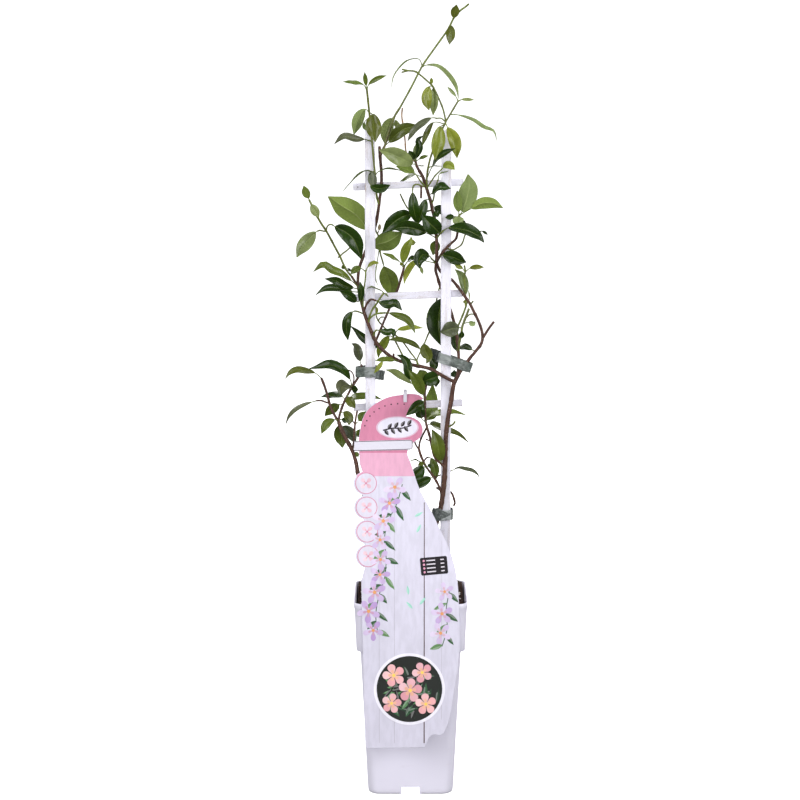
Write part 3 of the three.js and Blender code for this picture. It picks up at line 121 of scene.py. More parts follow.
# Leaf colours, by name of the setting that holds each; the grey tone is partly painted sheen.
DARK, MID, LIGHT, YOUNG, OLIVE, GREY_SHEEN, PALE, TAN = "dark mid light young olive grey pale tan".split()


def linear(red, green, blue):
    """A display colour, each part from 0 to 255, as the linear colour that shaders use."""
    parts = [value / 255 for value in (red, green, blue)]
    return tuple(c / 12.92 if c <= 0.04045 else ((c + 0.055) / 1.055) ** 2.4 for c in parts)


def blend(a, b, share):
    return tuple(x + (y - x) * share for x, y in zip(a, b))


def smoothstep(low, high, value):
    t = min(1, max(0, (value - low) / (high - low)))
    return t * t * (3 - 2 * t)


# ---- Settings ----


def colour(name, description, red, green, blue):
    return FloatVectorProperty(
        name=name, description=description, subtype="COLOR", size=3, min=0, max=1,
        default=linear(red, green, blue),
    )


def length(name, description, millimetres, low=0.0, high=1000.0):
    return FloatProperty(
        name=name, description=description, subtype="DISTANCE", unit="LENGTH",
        default=millimetres * MM, min=low * MM, max=high * MM,
    )


class PotSettings(PropertyGroup):
    plastic: colour("Plastic", "Colour of the pot's plastic", 226, 223, 238)
    edge: length("Edge radius", "Rounding of the pot's lip and collar edges", 0.6, 0.2, 0.9)
    earth: colour("Soil", "Colour of the damp soil", 52, 33, 23)
    crumbs: IntProperty(
        name="Crumbs", description="Number of loose soil crumbs", default=620, min=0, max=2000,
    )
    grains: IntProperty(
        name="Perlite", description="Number of white perlite grains", default=70, min=0, max=400,
    )


class LadderSettings(PropertyGroup):
    paint: colour("Paint", "Colour of the limewashed wood", 243, 241, 254)
    knots: colour("Knots", "Colour of the wood's knots under the paint", 168, 138, 112)
    edge: length("Edge radius", "Rounding of the bars' long edges", 0.7, 0.1, 2.0)
    tape: colour("Tape", "Colour of the tape ties", 62, 74, 66)
    tape_thickness: length("Tape thickness", "Thickness of the tape ties", 0.5, 0.2, 0.9)


class LabelSettings(PropertyGroup):
    board: colour("Board", "Colour of the card's plain lower part", 203, 200, 216)
    head: colour("Head", "Colour of the card's head", 196, 124, 152)
    paper: colour("Paper", "Colour of the paper strip and the clip", 212, 209, 222)
    blossom: colour("Blossom", "Colour of the printed blossoms", 176, 146, 198)


class PlantSettings(PropertyGroup):
    dark: colour("Dark leaves", "Upper face of the old, glossy leaves", 30, 52, 5)
    mid: colour("Mature leaves", "Upper face of the mature leaves", 82, 98, 34)
    light: colour("Light leaves", "Upper face of the lighter leaves", 104, 122, 53)
    young: colour("Young leaves", "Upper face of the young leaves", 118, 129, 45)
    olive: colour("Olive leaves", "Upper face of the olive leaves", 76, 84, 28)
    # The grey tone is dark leaf green lightened towards grey: partly the leaves' own tone, partly painted
    # sheen.
    grey: colour("Grey leaves", "Upper face of the grey-green leaves", 80, 86, 64)
    pale: colour("Pale leaves", "Upper face of the pale leaves", 119, 132, 82)
    tan: colour("Dry leaf", "Upper face of the dry leaf", 176, 158, 128)
    bark: colour("Bark", "Colour of the old stems", 80, 51, 40)
    shoot: colour("Shoots", "Colour of the green shoots", 104, 118, 48)
    blade: length("Leaf thickness", "Thickness of a leaf's blade", 0.36, 0.2, 0.7)


class StageSettings(PropertyGroup):
    floor: colour("Floor", "Colour of the floor and the wall", 250, 250, 251)
    power: FloatProperty(
        name="Key light", description="Power of the large soft light", subtype="POWER",
        unit="POWER", default=35.0, min=0.0, max=500.0,
    )
    fill: FloatProperty(
        name="Surround", description="Strength of the plain white surround", default=0.2, min=0, max=5,
    )
    glow: FloatProperty(
        name="Room glow", description="Strength of the room's own light", default=1.06, min=0, max=2,
    )


# ---- Curves and meshes ----


def seen(point):
    """A written plant point (x, z, y), in the frame.

    x and z are where the line of sight from EYE crosses the plane y = 0; y is the true depth.
    """
    x, z, y = point
    reach = (y - EYE.y) / -EYE.y
    return Vector((EYE.x + (x - EYE.x) * reach, y, EYE.z + (z - EYE.z) * reach))


def flat(point):
    return Vector((*point[:2], 0))


def around(angle):
    """A step of 1 in the direction of an angle, in the plane of x and y."""
    return Vector((math.cos(angle), math.sin(angle), 0))


class Path:
    """The smooth centripetal curve through points, measured along its length."""

    def __init__(self, points, samples=14):
        points = [np.array(p, float) for p in points]
        line = [2 * points[0] - points[1], *points, 2 * points[-1] - points[-2]]
        found = []
        for a, b, c, d in zip(line, line[1:], line[2:], line[3:]):
            before, between, after = (
                max(np.linalg.norm(q - p) ** 0.5, 1e-4) for p, q in ((a, b), (b, c), (c, d))
            )
            leave = (b - a) / before - (c - a) / (before + between) + (c - b) / between
            reach = (c - b) / between - (d - b) / (between + after) + (d - c) / after
            leave, reach = leave * between, reach * between
            for t in np.arange(samples) / samples:
                square, cube = 3 * (c - b) - 2 * leave - reach, 2 * (b - c) + leave + reach
                found.append(b + leave * t + square * t**2 + cube * t**3)
        found.append(line[-2])
        self.points = np.array(found)
        steps = np.linalg.norm(np.diff(self.points, axis=0), axis=1)
        self.marks = np.concatenate([[0], np.cumsum(steps)])
        self.length = float(self.marks[-1])
        self.first_span = float(self.marks[samples])

    def at(self, share):
        """The point at that share of the length."""
        mark = share * self.length
        return Vector([float(np.interp(mark, self.marks, axis)) for axis in self.points.T])

    def heading(self, share, reach=0.01):
        low, high = max(0, share - reach), min(1, share + reach)
        return (self.at(high) - self.at(low)).normalized()


def placed(name, data):
    """An object in the scene for a mesh, a lamp or a camera."""
    made = bpy.data.objects.new(name, data)
    bpy.context.scene.collection.objects.link(made)
    return made


def plain_mesh(name, points, faces):
    """A mesh of points in millimetres."""
    mesh = bpy.data.meshes.new(name)
    mesh.from_pydata([tuple(c * MM for c in p) for p in points], [], faces)
    return mesh


class Skin:
    """The vertices, faces and colours of one piece while it is put together, in millimetres.

    Each vertex has a tint, its own colour, and a place, four numbers that its finish reads.
    """

    def __init__(self):
        self.points, self.tints, self.places = [], [], []
        self.faces, self.finishes = [], []

    def loft(self, rings, tint=(1, 1, 1), places=None, finishes=0, closed=False):
        """A skin over rings of equally many points, each anticlockwise seen from the last one.

        tint can list a colour for each point, and finishes a number for each side. The ends are
        capped, unless the rings close on themselves.
        """
        start, sides = len(self.points), len(rings[0])
        pairs = list(zip(range(len(rings)), range(1, len(rings))))
        if closed:
            pairs.append((len(rings) - 1, 0))
        faces = [
            (a * sides + j, a * sides + (j + 1) % sides, b * sides + (j + 1) % sides, b * sides + j)
            for a, b in pairs
            for j in range(sides)
        ]
        kinds = (finishes if isinstance(finishes, list) else [finishes] * sides) * len(pairs)
        if not closed:
            last = (len(rings) - 1) * sides
            faces += [tuple(reversed(range(sides))), tuple(range(last, last + sides))]
            kinds += [kinds[0]] * 2
        points = [p for ring in rings for p in ring]
        self.points += points
        self.tints += tint if isinstance(tint, list) else [tint] * len(points)
        self.places += places or [(0, 0, 0, 0)] * len(points)
        self.faces += [tuple(start + i for i in face) for face in faces]
        self.finishes += kinds

    def piece(self, name, finishes, slot, nodes=(), smooth=50):
        mesh = plain_mesh(name, self.points, self.faces)
        for label, values in (("tint", self.tints), ("place", self.places)):
            rows = [(*v, 1.0) if len(v) == 3 else tuple(v) for v in values]
            store = mesh.attributes.new(label, "FLOAT_COLOR", "POINT")
            store.data.foreach_set("color", np.array(rows, np.float32).ravel())
        mesh.polygons.foreach_set("material_index", np.array(self.finishes, np.int32))
        finished(mesh, name, finishes, nodes, smooth)


def finished(mesh, name, finishes, nodes=(), smooth=50):
    """A piece that rides on the body, smooth where faces meet at less than `smooth` degrees."""
    for finish in finishes:
        mesh.materials.append(finish)
    mesh.validate()
    mesh.shade_smooth()
    mesh.set_sharp_from_angle(angle=math.radians(smooth))
    piece = placed(name, mesh)
    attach(piece, BODY)
    if nodes:
        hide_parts(*nodes)


def circle(centre, radius, side, up, sides):
    """A ring of points round centre; its turn is from `side` to `up`."""
    turns = [around(math.tau * i / sides) for i in range(sides)]
    return [centre + side * (radius * turn.x) + up * (radius * turn.y) for turn in turns]


def tube(skin, path, radius_at, tint_at, sides=8, step=2.5, finish=0, kind=(0, 0), last=1.0):
    """A closed round stem along a path, with rounded ends, up to a last share of the length.

    radius_at and tint_at take the distance from the start; kind ends each vertex's place.
    """
    end = path.length * last
    count = max(4, int(end / step) + 1)
    tip = min(0.8, end / 8)
    marks = [0, tip * 0.3, *np.linspace(tip, end - tip, count), end - tip * 0.3, end]
    shrink = [0.35, 0.8, *[1.0] * count, 0.8, 0.35]
    side = path.heading(0).orthogonal().normalized()
    rings, places, colours = [], [], []
    for mark, share in zip(marks, shrink):
        along = path.heading(mark / path.length)
        side = (side - along * side.dot(along)).normalized()
        up = along.cross(side)
        rings.append(circle(path.at(mark / path.length), radius_at(mark) * share, side, up, sides))
        places += [(mark / 100, j / sides, *kind) for j in range(sides)]
        colours += [tint_at(mark)] * sides
    skin.loft(rings, colours, places, finish)


# ---- Finishes ----


class Finish:
    """A material and short calls that add nodes to it; constants go on the shader's own sockets."""

    def __init__(self, name, **constants):
        self.material = bpy.data.materials.new(name)
        self.material.use_nodes = True
        self.tree = self.material.node_tree
        self.shader = self.tree.nodes["Principled BSDF"]
        for socket, value in constants.items():
            self.shader.inputs[socket.replace("_", " ")].default_value = value
        self.coordinates = self.node("TexCoord", out="Object")

    def put(self, socket, value):
        if isinstance(value, bpy.types.NodeSocket):
            self.tree.links.new(value, socket)
        elif hasattr(value, "__len__") and socket.type == "RGBA":
            socket.default_value = (*value[:3], 1)
        else:
            socket.default_value = value

    def node(self, kind, *inputs, out=0, **settings):
        """One output of a new node."""
        made = self.tree.nodes.new("ShaderNode" + kind)
        for name, value in settings.items():
            setattr(made, name, value)
        for place, value in inputs:
            self.put(made.inputs[place], value)
        return made.outputs[out]

    def sum(self, operation, a, b=0):
        return self.node("Math", (0, a), (1, b), operation=operation)

    def times(self, a, b):
        return self.sum("MULTIPLY", a, b)

    def step(self, value, start, end, low=0.3, high=0.7):
        """start below low, end above high, and a smooth step between them."""
        inputs = enumerate((value, low, high, start, end))
        return self.node("MapRange", *inputs, interpolation_type="SMOOTHSTEP")

    def mix(self, share, a, b, way="MIX"):
        return self.node("Mix", (0, share), (6, a), (7, b), out=2, data_type="RGBA", blend_type=way)

    def vary(self, colour, value, start, end, low=0.3, high=0.7):
        """The colour times a step between two factors."""
        factor = self.step(value, start, end, low, high)
        grey = self.node("CombineColor", (0, factor), (1, factor), (2, factor))
        return self.mix(1, colour, grey, "MULTIPLY")

    def lane(self, stretch, along):
        """The coordinates that a pattern follows, each stretched by its own number."""
        along = along or self.coordinates
        inputs = (0, along), (1, stretch)
        return self.node("VectorMath", *inputs, operation="MULTIPLY") if stretch else along

    def noise(self, scale, stretch=None, along=None, detail=3, roughness=0.55):
        inputs = {"Scale": scale, "Detail": detail, "Roughness": roughness}
        return self.node("TexNoise", ("Vector", self.lane(stretch, along)), *inputs.items())

    def cells(self, scale, stretch=None, along=None):
        """The distance to the nearest of scattered points."""
        inputs = ("Vector", self.lane(stretch, along)), ("Scale", scale)
        return self.node("TexVoronoi", *inputs, out="Distance")

    def tint(self):
        return self.node("Attribute", attribute_name="tint", out="Color")

    def place(self):
        """The four numbers of the piece's place."""
        found = self.node("Attribute", attribute_name="place", out="Vector")
        parts = self.node("SeparateXYZ", (0, found)).node.outputs
        return (*parts, found.node.outputs["Alpha"])

    def bump(self, *layers):
        """Relief from layers of (height, strength, distance in metres), each over the last."""
        normal = None
        for height, strength, distance in layers:
            inputs = [("Strength", strength), ("Distance", distance), ("Height", height)]
            normal = self.node("Bump", *inputs, *([("Normal", normal)] if normal else []))
        self.put(self.shader.inputs["Normal"], normal)

    def show(self, colour, roughness):
        self.put(self.shader.inputs["Base Color"], colour)
        self.put(self.shader.inputs["Roughness"], roughness)
        return self.material


def leaf_veins(look):
    """How far out from its rib a leaf's point is, and how strongly it lies on rib or side vein."""
    across, along, _, count = look.place()
    out = look.sum("ABSOLUTE", look.sum("SUBTRACT", look.times(across, 2), 1))
    leaning = look.sum("SUBTRACT", along, look.times(out, 0.16))
    phase = look.sum("FRACT", look.times(leaning, look.times(count, 20)))
    wave = look.sum("ABSOLUTE", look.sum("SUBTRACT", phase, 0.5))
    side = look.times(look.step(wave, 0, 1, 0.40, 0.5), look.step(out, 1, 0, 0.62, 0.97))
    return out, look.step(out, 1, 0, 0.02, 0.09), side


def leaf_upper():
    """The waxy upper face: deep green, with sunken side veins and a lighter rib."""
    look = Finish(
        "leaf_upper", Specular_IOR_Level=0.27, Coat_Weight=0.12, Coat_Roughness=0.18, IOR=1.4,
    )
    out, rib, side = leaf_veins(look)
    cloud, grain = look.noise(70), look.noise(900, detail=2)
    base = look.vary(look.tint(), cloud, 0.74, 1.26, 0.25, 0.75)
    base = look.vary(base, grain, 0.93, 1.07)
    veins = look.mix(0.3, base, linear(150, 168, 84))
    base = look.mix(look.times(side, 0.1), base, veins)
    base = look.mix(look.times(rib, 0.65), base, veins)
    base = look.mix(look.step(out, 0, 0.2, 0.93, 1), base, linear(120, 136, 60))
    relief = look.times(look.sum("ADD", side, rib), -1)
    look.bump((relief, 0.2, 0.0002), (grain, 0.08, 0.0001), (cloud, 0.45, 0.0012))
    return look.show(base, look.step(look.noise(220, detail=4), 0.2, 0.34, 0.3, 0.75))


def leaf_lower():
    """The dull underside: paler and greyer, with raised veins."""
    look = Finish("leaf_lower", Specular_IOR_Level=0.2, IOR=1.4)
    _, rib, side = leaf_veins(look)
    grain = look.noise(800)
    base = look.vary(look.mix(0.3, look.tint(), linear(140, 160, 88)), grain, 0.92, 1.06)
    base = look.mix(look.times(rib, 0.3), base, linear(180, 192, 130))
    base = look.mix(look.times(side, 0.12), base, linear(176, 188, 120))
    look.bump((look.sum("ADD", side, rib), 0.5, 0.0003), (grain, 0.3, 0.0002))
    return look.show(base, look.step(grain, 0.5, 0.66))


def stem_bark():
    """Stems: woody bark with pale pores where place says so, smooth green skin elsewhere."""
    look = Finish("stem_bark", Specular_IOR_Level=0.4)
    wood = look.place()[3]
    streaks = look.noise(160, (3, 3, 0.7), detail=5)
    fine = look.noise(1400, detail=4)
    base = look.vary(look.tint(), streaks, 0.62, 1.38, 0.3, 0.72)
    base = look.vary(base, fine, 0.85, 1.15)
    pores = look.times(look.step(look.cells(420), 1, 0, 0.10, 0.22), look.times(wood, 0.5))
    base = look.mix(pores, base, linear(190, 164, 138))
    height = look.times(streaks, wood)
    look.bump((height, 0.8, 0.0008), (fine, 0.3, 0.0002), (pores, 0.4, 0.0002))
    return look.show(base, look.sum("ADD", look.times(wood, 0.28), 0.42))


def moulded_plastic(settings):
    """Satin moulded plastic with a fine skin, faint flow streaks and a few scuffs."""
    look = Finish("moulded_plastic", Specular_IOR_Level=0.45, Coat_Weight=0.08, Coat_Roughness=0.35)
    streaks = look.noise(9, (1, 1, 0.12))
    skin = look.noise(1600, detail=2)
    scuffs = look.noise(55, (1, 1, 2.6), detail=6)
    base = look.vary(settings.plastic, streaks, 0.965, 1.02)
    base = look.mix(look.step(scuffs, 0, 0.12, 0.62, 0.74), base, linear(196, 188, 196))
    look.bump((skin, 0.12, 0.0001), (scuffs, 0.1, 0.0002))
    return look.show(base, look.step(scuffs, 0.34, 0.52, 0.35, 0.7))


def damp_soil(settings):
    """Damp fibrous soil, dark with lighter crumbs."""
    look = Finish("damp_soil", Specular_IOR_Level=0.25)
    coarse, crumbs = look.noise(260, detail=8, roughness=0.65), look.cells(430)
    base = look.vary(settings.earth, coarse, 0.45, 1.6, 0.3, 0.72)
    base = look.mix(look.step(crumbs, 0.25, 0, 0.05, 0.3), base, linear(118, 88, 62))
    look.bump((coarse, 1, 0.002), (crumbs, 0.6, 0.0012))
    return look.show(base, look.step(coarse, 0.72, 0.98))


def soil_crumb():
    """Loose bits: the tint of each, broken up by grain."""
    look = Finish("soil_crumb", Specular_IOR_Level=0.25)
    grain = look.noise(1100, detail=6, roughness=0.65)
    look.bump((grain, 0.9, 0.0006))
    return look.show(look.vary(look.tint(), grain, 0.6, 1.35), look.step(grain, 0.75, 0.95))


def limewashed_wood(settings):
    """Thin white paint over softwood: the grain runs along the bar, and knots show through.

    A bar's place is its distance along in decimetres, twice the distance across, and its number.
    """
    look = Finish("limewashed_wood", Specular_IOR_Level=0.35)
    along, across, number, _ = look.place()
    lane = look.node("CombineXYZ", (0, along), (1, across), (2, number))
    grain = look.noise(9, (0.55, 26, 7), lane, detail=5, roughness=0.6)
    patches = look.noise(3.4, (1, 3, 5), lane, detail=4)
    specks = look.noise(46, (1, 6, 5), lane, detail=4, roughness=0.7)
    knot = look.cells(1.35, (1, 2.4, 3.7), lane)
    base = look.vary(settings.paint, grain, 0.88, 1.03, 0.32, 0.7)
    # Painted shade: the rungs, bars 2 and up, behind the stiles, are darkened to 0.92 of the paint.
    base = look.vary(base, number, 1, 0.92, 1.2, 1.8)
    worn = look.times(look.step(patches, 0, 0.7, 0.5, 0.64), grain)
    base = look.mix(worn, base, linear(198, 186, 182))
    chips = look.times(look.step(specks, 0, 1, 0.56, 0.62), look.step(patches, 0, 1, 0.44, 0.56))
    base = look.mix(look.times(chips, 0.7), base, linear(128, 104, 88))
    spot = look.step(knot, 1, 0, 0.02, 0.1)
    rings = look.step(look.sum("SINE", look.times(knot, 150)), 0.5, 0.85, -0.6, 1)
    base = look.mix(look.times(spot, rings), base, settings.knots)
    look.bump((grain, 0.5, 0.0006), (patches, 0.2, 0.0008), (spot, 0.2, 0.0004))
    return look.show(base, look.step(grain, 0.55, 0.72))


def stretch_tape():
    """Thin stretched film, cloudy grey-green: painted highlights on creases, painted shade in folds."""
    look = Finish("stretch_tape", Specular_IOR_Level=0.35, Coat_Weight=0.06, Coat_Roughness=0.25)
    along, across, chance, _ = look.place()
    lane = look.node("CombineXYZ", (0, along), (1, across), (2, chance))
    cloud = look.noise(7, (1, 0.3, 9), lane)
    folds = look.noise(9, (1.6, 0.22, 5), lane)
    creases = look.noise(16, (1, 0.35, 7), lane)
    base = look.vary(look.tint(), cloud, 0.78, 1.16, 0.38, 0.64)
    # Painted shade: the folds are darkened towards a near-black green.
    base = look.mix(look.step(folds, 0, 0.4, 0.54, 0.64), base, linear(30, 38, 34))
    # Painted highlights: the creases are lightened towards pale grey.
    base = look.mix(look.step(creases, 0, 0.3, 0.57, 0.66), base, linear(176, 184, 182))
    # Painted shade: the band darkens towards both its long edges.
    off_middle = look.sum("ABSOLUTE", look.sum("SUBTRACT", across, 0.5))
    base = look.mix(look.step(off_middle, 0, 0.25, 0.45, 0.5), base, linear(40, 50, 48))
    look.bump((creases, 0.7, 0.0006), (folds, 0.5, 0.0008))
    return look.show(base, look.step(cloud, 0.25, 0.45))


def printed_ink():
    """Laminated card and its print: the tint of each field, a fine paper tooth and painted light."""
    look = Finish("printed_ink", Specular_IOR_Level=0.16, Coat_Weight=0.03, Coat_Roughness=0.35)
    tooth, wash = look.noise(1500), look.noise(24)
    strokes = look.noise(260, (1, 1, 0.06), detail=4)
    height = look.node("SeparateXYZ", (0, look.coordinates), out=2)
    base = look.vary(look.tint(), wash, 0.96, 1.03)
    base = look.vary(base, strokes, 0.95, 1.03, 0.34, 0.66)
    # Painted light: the print is darker low on the card and lighter high up, by height in the frame.
    base = look.vary(base, height, 0.92, 1.08, 0.03, 0.3)
    base = look.vary(base, tooth, 0.985, 1.01)
    look.bump((tooth, 0.12, 0.0001), (wash, 0.2, 0.0015))
    return look.show(base, look.step(wash, 0.36, 0.46))


def white_stock(settings):
    """Uncoated paper and moulded clip: near white, with fibres."""
    look = Finish("white_stock", Specular_IOR_Level=0.4)
    fibres = look.noise(700, (0.5, 1, 2), detail=4)
    look.bump((fibres, 0.15, 0.0002))
    return look.show(look.vary(settings.paper, fibres, 0.96, 1.02), look.step(fibres, 0.42, 0.6))


def painted_pin():
    """Small painted steel pins."""
    look = Finish("painted_pin", Metallic=0.6, Specular_IOR_Level=0.5)
    specks = look.noise(2600)
    look.bump((specks, 0.3, 0.0001))
    return look.show(look.vary(linear(176, 172, 176), specks, 0.7, 1.1), look.step(specks, 0.35, 0.55))


def studio_white(settings):
    """The room's own soft white, a little cloudy."""
    look = Finish("studio_white", Specular_IOR_Level=0, Emission_Strength=settings.glow)
    cloud = look.noise(2, detail=1)
    base = look.vary(settings.floor, cloud, 0.995, 1)
    look.put(look.shader.inputs["Emission Color"], base)
    return look.show(base, look.step(cloud, 0.85, 0.9))


def made_once(maker, *arguments):
    """The finish that a maker makes, shared by every piece that uses it."""
    return bpy.data.materials.get(maker.__name__) or maker(*arguments)


# ---- Pot and soil ----


def rounded_square(half, z, corner=CORNER, arc_steps=10, side_steps=6):
    """A ring round the pot's axis: four straight sides and four arcs, anticlockwise from above."""
    ring = []
    corner = min(corner, half)
    inner = half - corner
    for quarter in range(4):
        turn = Matrix.Rotation(quarter * math.pi / 2, 3, "Z")
        side = [Vector((half, inner * (2 * i / side_steps - 1), z)) for i in range(side_steps)]
        arc = [around(math.pi / 2 * i / arc_steps) * corner for i in range(arc_steps)]
        ring += [turn @ p for p in side + [Vector((inner, inner, z)) + out for out in arc]]
    return ring


def block(width, depth, height, middle=0):
    """A plain block on the pot's axis, used only as a tool."""
    skin = Skin()
    corners = ((-1, -1), (1, -1), (1, 1), (-1, 1))
    skin.loft([
        [Vector((x * width / 2, y * depth / 2, z * height / 2 + middle)) for x, y in corners]
        for z in (-1, 1)
    ])
    return skin


def drum(radius, low, high, x=0, y=0):
    skin = Skin()
    side, up = Vector((1, 0, 0)), Vector((0, 1, 0))
    skin.loft([circle(Vector((x, y, z)), radius, side, up, 24) for z in (low, high)])
    return skin


def cut_mesh(skin, name, tools):
    """The skin's mesh after joining or cutting it with each (way, skin) in turn."""
    parts = [skin, *(tool for _, tool in tools)]
    body, *others = (placed(name, plain_mesh(name, part.points, part.faces)) for part in parts)
    for (way, _), other in zip(tools, others):
        change = body.modifiers.new(other.name, "BOOLEAN")
        change.operation, change.object, change.solver = way, other, "EXACT"
    mesh = bpy.data.meshes.new_from_object(
        body.evaluated_get(bpy.context.evaluated_depsgraph_get())
    )
    for blank in [made.data for made in (body, *others)]:
        bpy.data.meshes.remove(blank)
    mesh.name = name
    return mesh


def make_pot(settings):
    """The shell: tapered body, standing collar and lip, with drainage channels under its foot."""
    edge = settings.edge / MM
    slope = (SHOULDER_HALF - FOOT_HALF) / SHOULDER
    flare = (COLLAR_TOP_HALF - COLLAR_HALF) / (LIP - SHOULDER)
    outside = [
        *((FOOT_HALF + out, z) for out, z in FOOT_PROFILE),
        *((FOOT_HALF + slope * z, z) for z in (30, 60, 90, 120, 143)),
        (SHOULDER_HALF, SHOULDER - 0.6), (SHOULDER_HALF + 0.5, SHOULDER),
        (COLLAR_HALF - edge, SHOULDER), (COLLAR_HALF - 0.25 * edge, SHOULDER + 0.3 * edge),
        (COLLAR_HALF, SHOULDER + edge),
        *((COLLAR_HALF + flare * (z - SHOULDER), z) for z in (155, 170, 180)),
        (COLLAR_TOP_HALF + 0.1, LIP - 0.8), (LIP_HALF - 0.3, LIP + 0.8), (LIP_HALF, LIP + 2.2),
        (LIP_HALF, POT_HEIGHT - edge), (LIP_HALF - 0.3 * edge, POT_HEIGHT - 0.25 * edge),
        (LIP_HALF - edge, POT_HEIGHT),
    ]
    ledge = SHOULDER + WALL
    inside = [
        (LIP_HALF + 0.6 * edge, POT_HEIGHT), (LIP_HALF, POT_HEIGHT - 0.6 * edge),
        (LIP_HALF - 0.05, LIP), (COLLAR_HALF + 0.4, ledge + 8), (COLLAR_HALF, ledge),
        (SHOULDER_HALF, ledge), (FOOT_HALF + slope * FLOOR, FLOOR),
    ]
    skin = Skin()
    rings = [rounded_square(half, z) for half, z in outside]
    rings += [rounded_square(half - WALL, z, CORNER - WALL) for half, z in inside]
    skin.loft(rings)
    wide, roof = CHANNEL_WIDTH + 2 * CHANNEL_ROOF, CHANNEL_HEIGHT + CHANNEL_ROOF
    body, beyond = 2 * (FOOT_HALF - 0.8), 4 * LIP_HALF
    tools = [
        ("UNION", block(body, wide, roof - 0.4, roof / 2)),
        ("UNION", block(wide, body, roof - 0.4, roof / 2)),
        ("DIFFERENCE", block(beyond, CHANNEL_WIDTH, 2 * CHANNEL_HEIGHT)),
        ("DIFFERENCE", block(CHANNEL_WIDTH, beyond, 2 * CHANNEL_HEIGHT)),
    ]
    for x, y in ((1, 0), (-1, 0), (0, 1), (0, -1)):
        hole = drum(DRAIN_RADIUS, 4, 12, x * DRAIN_SPACING, y * DRAIN_SPACING)
        tools.append(("DIFFERENCE", hole))
    tools.append(("UNION", drum(STUD_RADIUS, 0, CHANNEL_HEIGHT + CHANNEL_ROOF / 2)))
    mesh = cut_mesh(skin, "climber_pot", tools)
    finished(mesh, mesh.name, [made_once(moulded_plastic, settings)], ["pot"], 35)


def soil_height(x, y):
    """The lumpy soil surface, in millimetres."""
    spot = Vector((x, y, 0))
    swell = noise.fractal(spot / 16, 1, 2, 3)
    rough = noise.fractal(spot / 4.5 + Vector((7, 3, 1)), 0.9, 2.1, 4)
    heap = 8.4 * smoothstep(6, 44, y) + smoothstep(36, 47, abs(x))
    return SOIL_LEVEL + heap + 1.5 * swell + 0.7 * rough


def make_soil(settings):
    """The soil body, the loose crumbs and perlite on it, and dry root fibres."""
    skin = Skin()
    top = COLLAR_HALF - WALL - 0.4
    levels = (
        (FOOT_HALF - 1.4, SOIL_BOTTOM), (SHOULDER_HALF - WALL - 0.5, SHOULDER), (top, SHOULDER + 6),
    )
    rings = [rounded_square(half, z, 8, 6, 16) for half, z in levels]
    steps = 26
    for step in range(steps + 1):
        half = (top + 1) * (1 - step / steps) + 0.02
        ring = rounded_square(half, 0, 8, 6, 16)
        rings.append([Vector((p.x, p.y, soil_height(p.x, p.y))) for p in ring])
    skin.loft(rings)
    skin.piece("potting_soil", [made_once(damp_soil, settings)], "potting_soil", ["soil"], 60)

    rng = random.Random(11)
    crumbs, perlite, fibre = Skin(), Skin(), Skin()
    browns = [linear(54, 35, 25), linear(32, 21, 16), linear(82, 54, 37), linear(24, 17, 14)]
    reach = COLLAR_HALF - WALL - 2.4
    for _ in range(settings.crumbs):
        spot = (rng.uniform(-reach, reach), rng.uniform(-reach, reach))
        size = rng.uniform(0.5, 1) ** 2 * 2.3
        add_lump(crumbs, rng, spot, size, rng.choice(browns), 1.6)
    for number in range(settings.grains):
        spot = (rng.uniform(-reach, reach), rng.uniform(-reach, reach))
        if number % 3 == 0:
            spot = (math.copysign(reach - abs(spot[0]) * 0.15, spot[0]), abs(spot[1]))
        add_lump(perlite, rng, spot, rng.uniform(0.7, 1.7), linear(236, 232, 224), 1.15)
    for x, y, bend in ((47, -30, 1), (41, -22, -1), (-40, 18, 1), (-12, -34, -1), (20, 36, 1)):
        points = []
        for step in range(9):
            angle = bend * step * 0.55
            px, py = x + 1.1 * step * math.cos(angle * 0.4) - 5, y + 2.6 * math.sin(angle)
            points.append((px, py, soil_height(px, py) + 0.5 + 1.6 * math.sin(step * 0.8) ** 2))
        tube(fibre, Path(points), lambda mark: 0.3, lambda mark: linear(150, 118, 84), 6, 1)
    loose = made_once(soil_crumb)
    for part, name in ((crumbs, "soil_crumbs"), (perlite, "perlite_grains"), (fibre, "dry_root_fibre")):
        part.piece(name, [loose], "potting_soil")


def add_lump(skin, rng, spot, size, tint, stretch):
    """One irregular bit that lies on the soil."""
    turn = Matrix.Rotation(rng.uniform(0, math.tau), 3, "Z")
    centre = Vector((*spot, soil_height(*spot) + size * 0.25))
    sides, rings = 6, []
    for level in range(5):
        high = -1 + 2 * level / 4
        radius = size * max(0.12, math.cos(high * 1.35)) * rng.uniform(0.85, 1.1)
        ring = []
        for i in range(sides):
            out = around(math.tau * i / sides) * radius * rng.uniform(0.78, 1.15)
            out.x *= stretch
            ring.append(centre + turn @ out + Vector((0, 0, high * size * 0.75)))
        rings.append(ring)
    skin.loft(rings, tint)


# ---- Ladder ----


